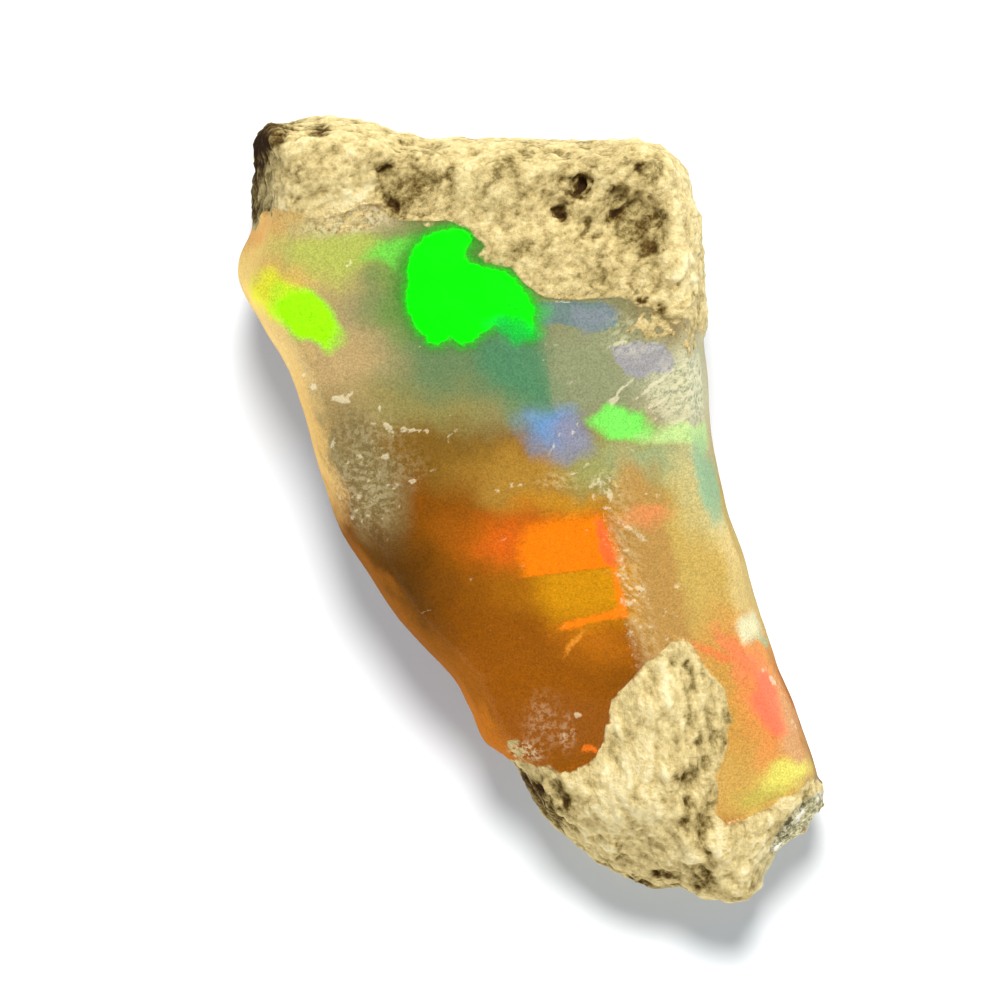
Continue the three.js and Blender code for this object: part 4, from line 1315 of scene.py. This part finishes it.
glow = node(tree, "Mix", {0: broken_rough, 6: glow, 7: BLACK}, **COLOURS)
through = node(tree, "Math", {0: kept["lit_through"], 1: THROUGH_LIGHT}, operation="MULTIPLY")
through = node(tree, "VectorMath", {0: opal_face, "Scale": through}, operation="SCALE")
own_light = node(tree, "VectorMath", {0: glow, 1: through}, operation="ADD")
own_light = node(tree, "Mix", {0: is_rock, 6: own_light, 7: BLACK}, **COLOURS)

bumpy = node(tree, "Math", {0: broken_rough, 1: FLECK_BUMPS}, operation="MULTIPLY")
bumpy = node(tree, "Math", {0: bumpy, 1: is_rock}, operation="MAXIMUM")
bumpy = node(tree, "MapRange", {0: bumpy, 3: SMOOTH_BUMPS, 4: 1.0})
bump = node(tree, "Bump", {"Height": speckle, "Distance": BUMP_HEIGHT * MM, "Strength": bumpy})
print("nodes so far:", len(tree.nodes))

# %% [markdown]
# The tint inside the opal is a warm absorption. The specular level is under the usual half, because
# the broken faces are a little weathered and mirror less than a fresh break.

# %% Put the material on the stone
OPAL_IOR = 1.45
MIRRORS = 0.22  # half is a fresh break
TINT, TINT_DENSITY = "#ffc070", 350.0  # what the inside lets through, and how fast it tints per metre

surface_shader = node(tree, "BsdfPrincipled", {
    "Base Color": base,
    "Roughness": gloss,
    "Transmission Weight": clear,
    "IOR": OPAL_IOR,
    "Specular IOR Level": MIRRORS,
    "Normal": bump,
    "Emission Color": own_light,
    "Emission Strength": 1.0,
})
absorb = node(tree, "VolumeAbsorption", {"Color": linear(TINT), "Density": TINT_DENSITY})
node(tree, "OutputMaterial", {"Surface": surface_shader, "Volume": absorb})
stone.data.materials.clear()
stone.data.materials.append(material)
print("material:", material.name, "with", len(tree.nodes), "nodes")

# %% [markdown]
# ## Floor, lights and camera
#
# The stone lies on plain white paper: uncoated, so it has no highlight and gives an even soft white.

# %% Floor
FLOOR_HALF = 4.0  # m, so wide that its edge is in no view


def white_floor():
    mesh = bpy.data.meshes.new("floor")
    corners = [(x * FLOOR_HALF, y * FLOOR_HALF, 0) for x, y in ((-1, -1), (1, -1), (1, 1), (-1, 1))]
    mesh.from_pydata(corners, [], [(0, 1, 2, 3)])
    made = bpy.data.objects.new("floor", mesh)
    bpy.context.scene.collection.objects.link(made)
    paper = new_material("white_paper")
    matte = node(paper.node_tree, "BsdfPrincipled", {"Base Color": linear("#d2d2d2"), "Roughness": 0.95})
    node(paper.node_tree, "OutputMaterial", {"Surface": matte})
    mesh.materials.append(paper)
    return made


floor = white_floor()
floor.visible_glossy = False  # the stone neither mirrors the paper
floor.visible_transmission = False  # nor shows it through itself
print("floor:", 2 * FLOOR_HALF, "m wide")

# %% [markdown]
# In the photograph the relief of the stone is lit from the top of the picture, at about 45 degrees,
# while its shadow is short, soft and falls almost straight down. One lamp can't do both, so each lamp
# lights one thing alone. The key and a weak warm fill from below light the stone. A steeper and wider
# lamp lights the paper and makes the shadow, and a faint one without a shadow keeps that shadow from
# going too dark.

# %% Lights
def soft_sun(name, strength, spread, direction, lit, colour="#ffffff", shadow=True):
    """A light from a direction, as wide in the sky as the spread in degrees, for one object."""
    light = bpy.data.lights.new(name, "SUN")
    light.energy = strength
    light.angle = math.radians(spread)
    light.color = linear(colour)[:3]
    light.use_shadow = shadow
    lamp = bpy.data.objects.new(name, light)
    lamp.rotation_mode = "QUATERNION"
    lamp.rotation_quaternion = Vector(direction).to_track_quat("Z", "Y")
    bpy.context.scene.collection.objects.link(lamp)
    only = bpy.data.collections.new("lit_by_" + name)
    only.objects.link(lit)
    lamp.light_linking.receiver_collection = only
    return lamp


soft_sun("key", 3.5, 12, KEY_WAY, stone, "#fffaf0")
fill = soft_sun("stone_fill", 1.1, 40, (-0.2, -0.9, 0.3), stone, "#fff0cc")
fill.visible_glossy = False  # it only lifts the shade, and isn't mirrored
soft_sun("paper_light", 4.3, 16, (0.0, 0.5, 1.0), floor)
soft_sun("paper_fill", 1.15, 16, (0, 0, 1), floor, "#dceeff", shadow=False)
print("lamps:", ", ".join(light.name for light in bpy.data.lights))

# %% [markdown]
# The sky is darker straight overhead, where the glassy faces mirror it, so that they keep their
# colour. It is nearly dark below the horizon as well.

# %% Sky
SKY_LOW, SKY_OVERHEAD = 0.6, 0.08  # brightness up to half way up, and straight overhead
BELOW = 0.1  # how much of that is left below the horizon

world = bpy.data.worlds.new("sky")
bpy.context.scene.world = world
world.use_nodes = True
sky = world.node_tree
sky.nodes.clear()
height = node(sky, "SeparateXYZ", {0: node(sky, "TexCoord", out=0)}, out=2)
overhead = node(sky, "MapRange", {0: height, 1: 0.5, 2: 0.95, 3: SKY_LOW, 4: SKY_OVERHEAD})
below = node(sky, "MapRange", {0: height, 1: -0.05, 2: 0.05, 3: BELOW, 4: 1.0})
brightness = node(sky, "Math", {0: overhead, 1: below}, operation="MULTIPLY")
background = node(sky, "Background", {"Color": (1, 1, 1, 1), "Strength": brightness})
node(sky, "OutputWorld", {"Surface": background})
print("sky:", len(sky.nodes), "nodes")

# %% [markdown]
# The camera looks straight down from far above, so the walls are hardly seen, as in the photograph.

# %% Camera
FRAME_WIDTH = 38.0  # mm across the picture, at the height of the broken face
FRAME_MIDDLE = (-1.14, 0.30)  # mm
CAMERA_HEIGHT = 600.0  # mm above that face
FACE_HEIGHT = 9.0  # mm


def camera_above():
    data = bpy.data.cameras.new("camera")
    data.sensor_width = 36.0
    data.lens = data.sensor_width * CAMERA_HEIGHT / FRAME_WIDTH
    camera = bpy.data.objects.new("camera", data)
    camera.location = Vector((*FRAME_MIDDLE, FACE_HEIGHT + CAMERA_HEIGHT)) * MM
    bpy.context.scene.collection.objects.link(camera)
    bpy.context.scene.camera = camera
    return camera


camera = camera_above()
bpy.context.scene.view_settings.view_transform = "Standard"  # colours come out as they are written
print("camera at mm:", [round(v / MM, 1) for v in camera.location])
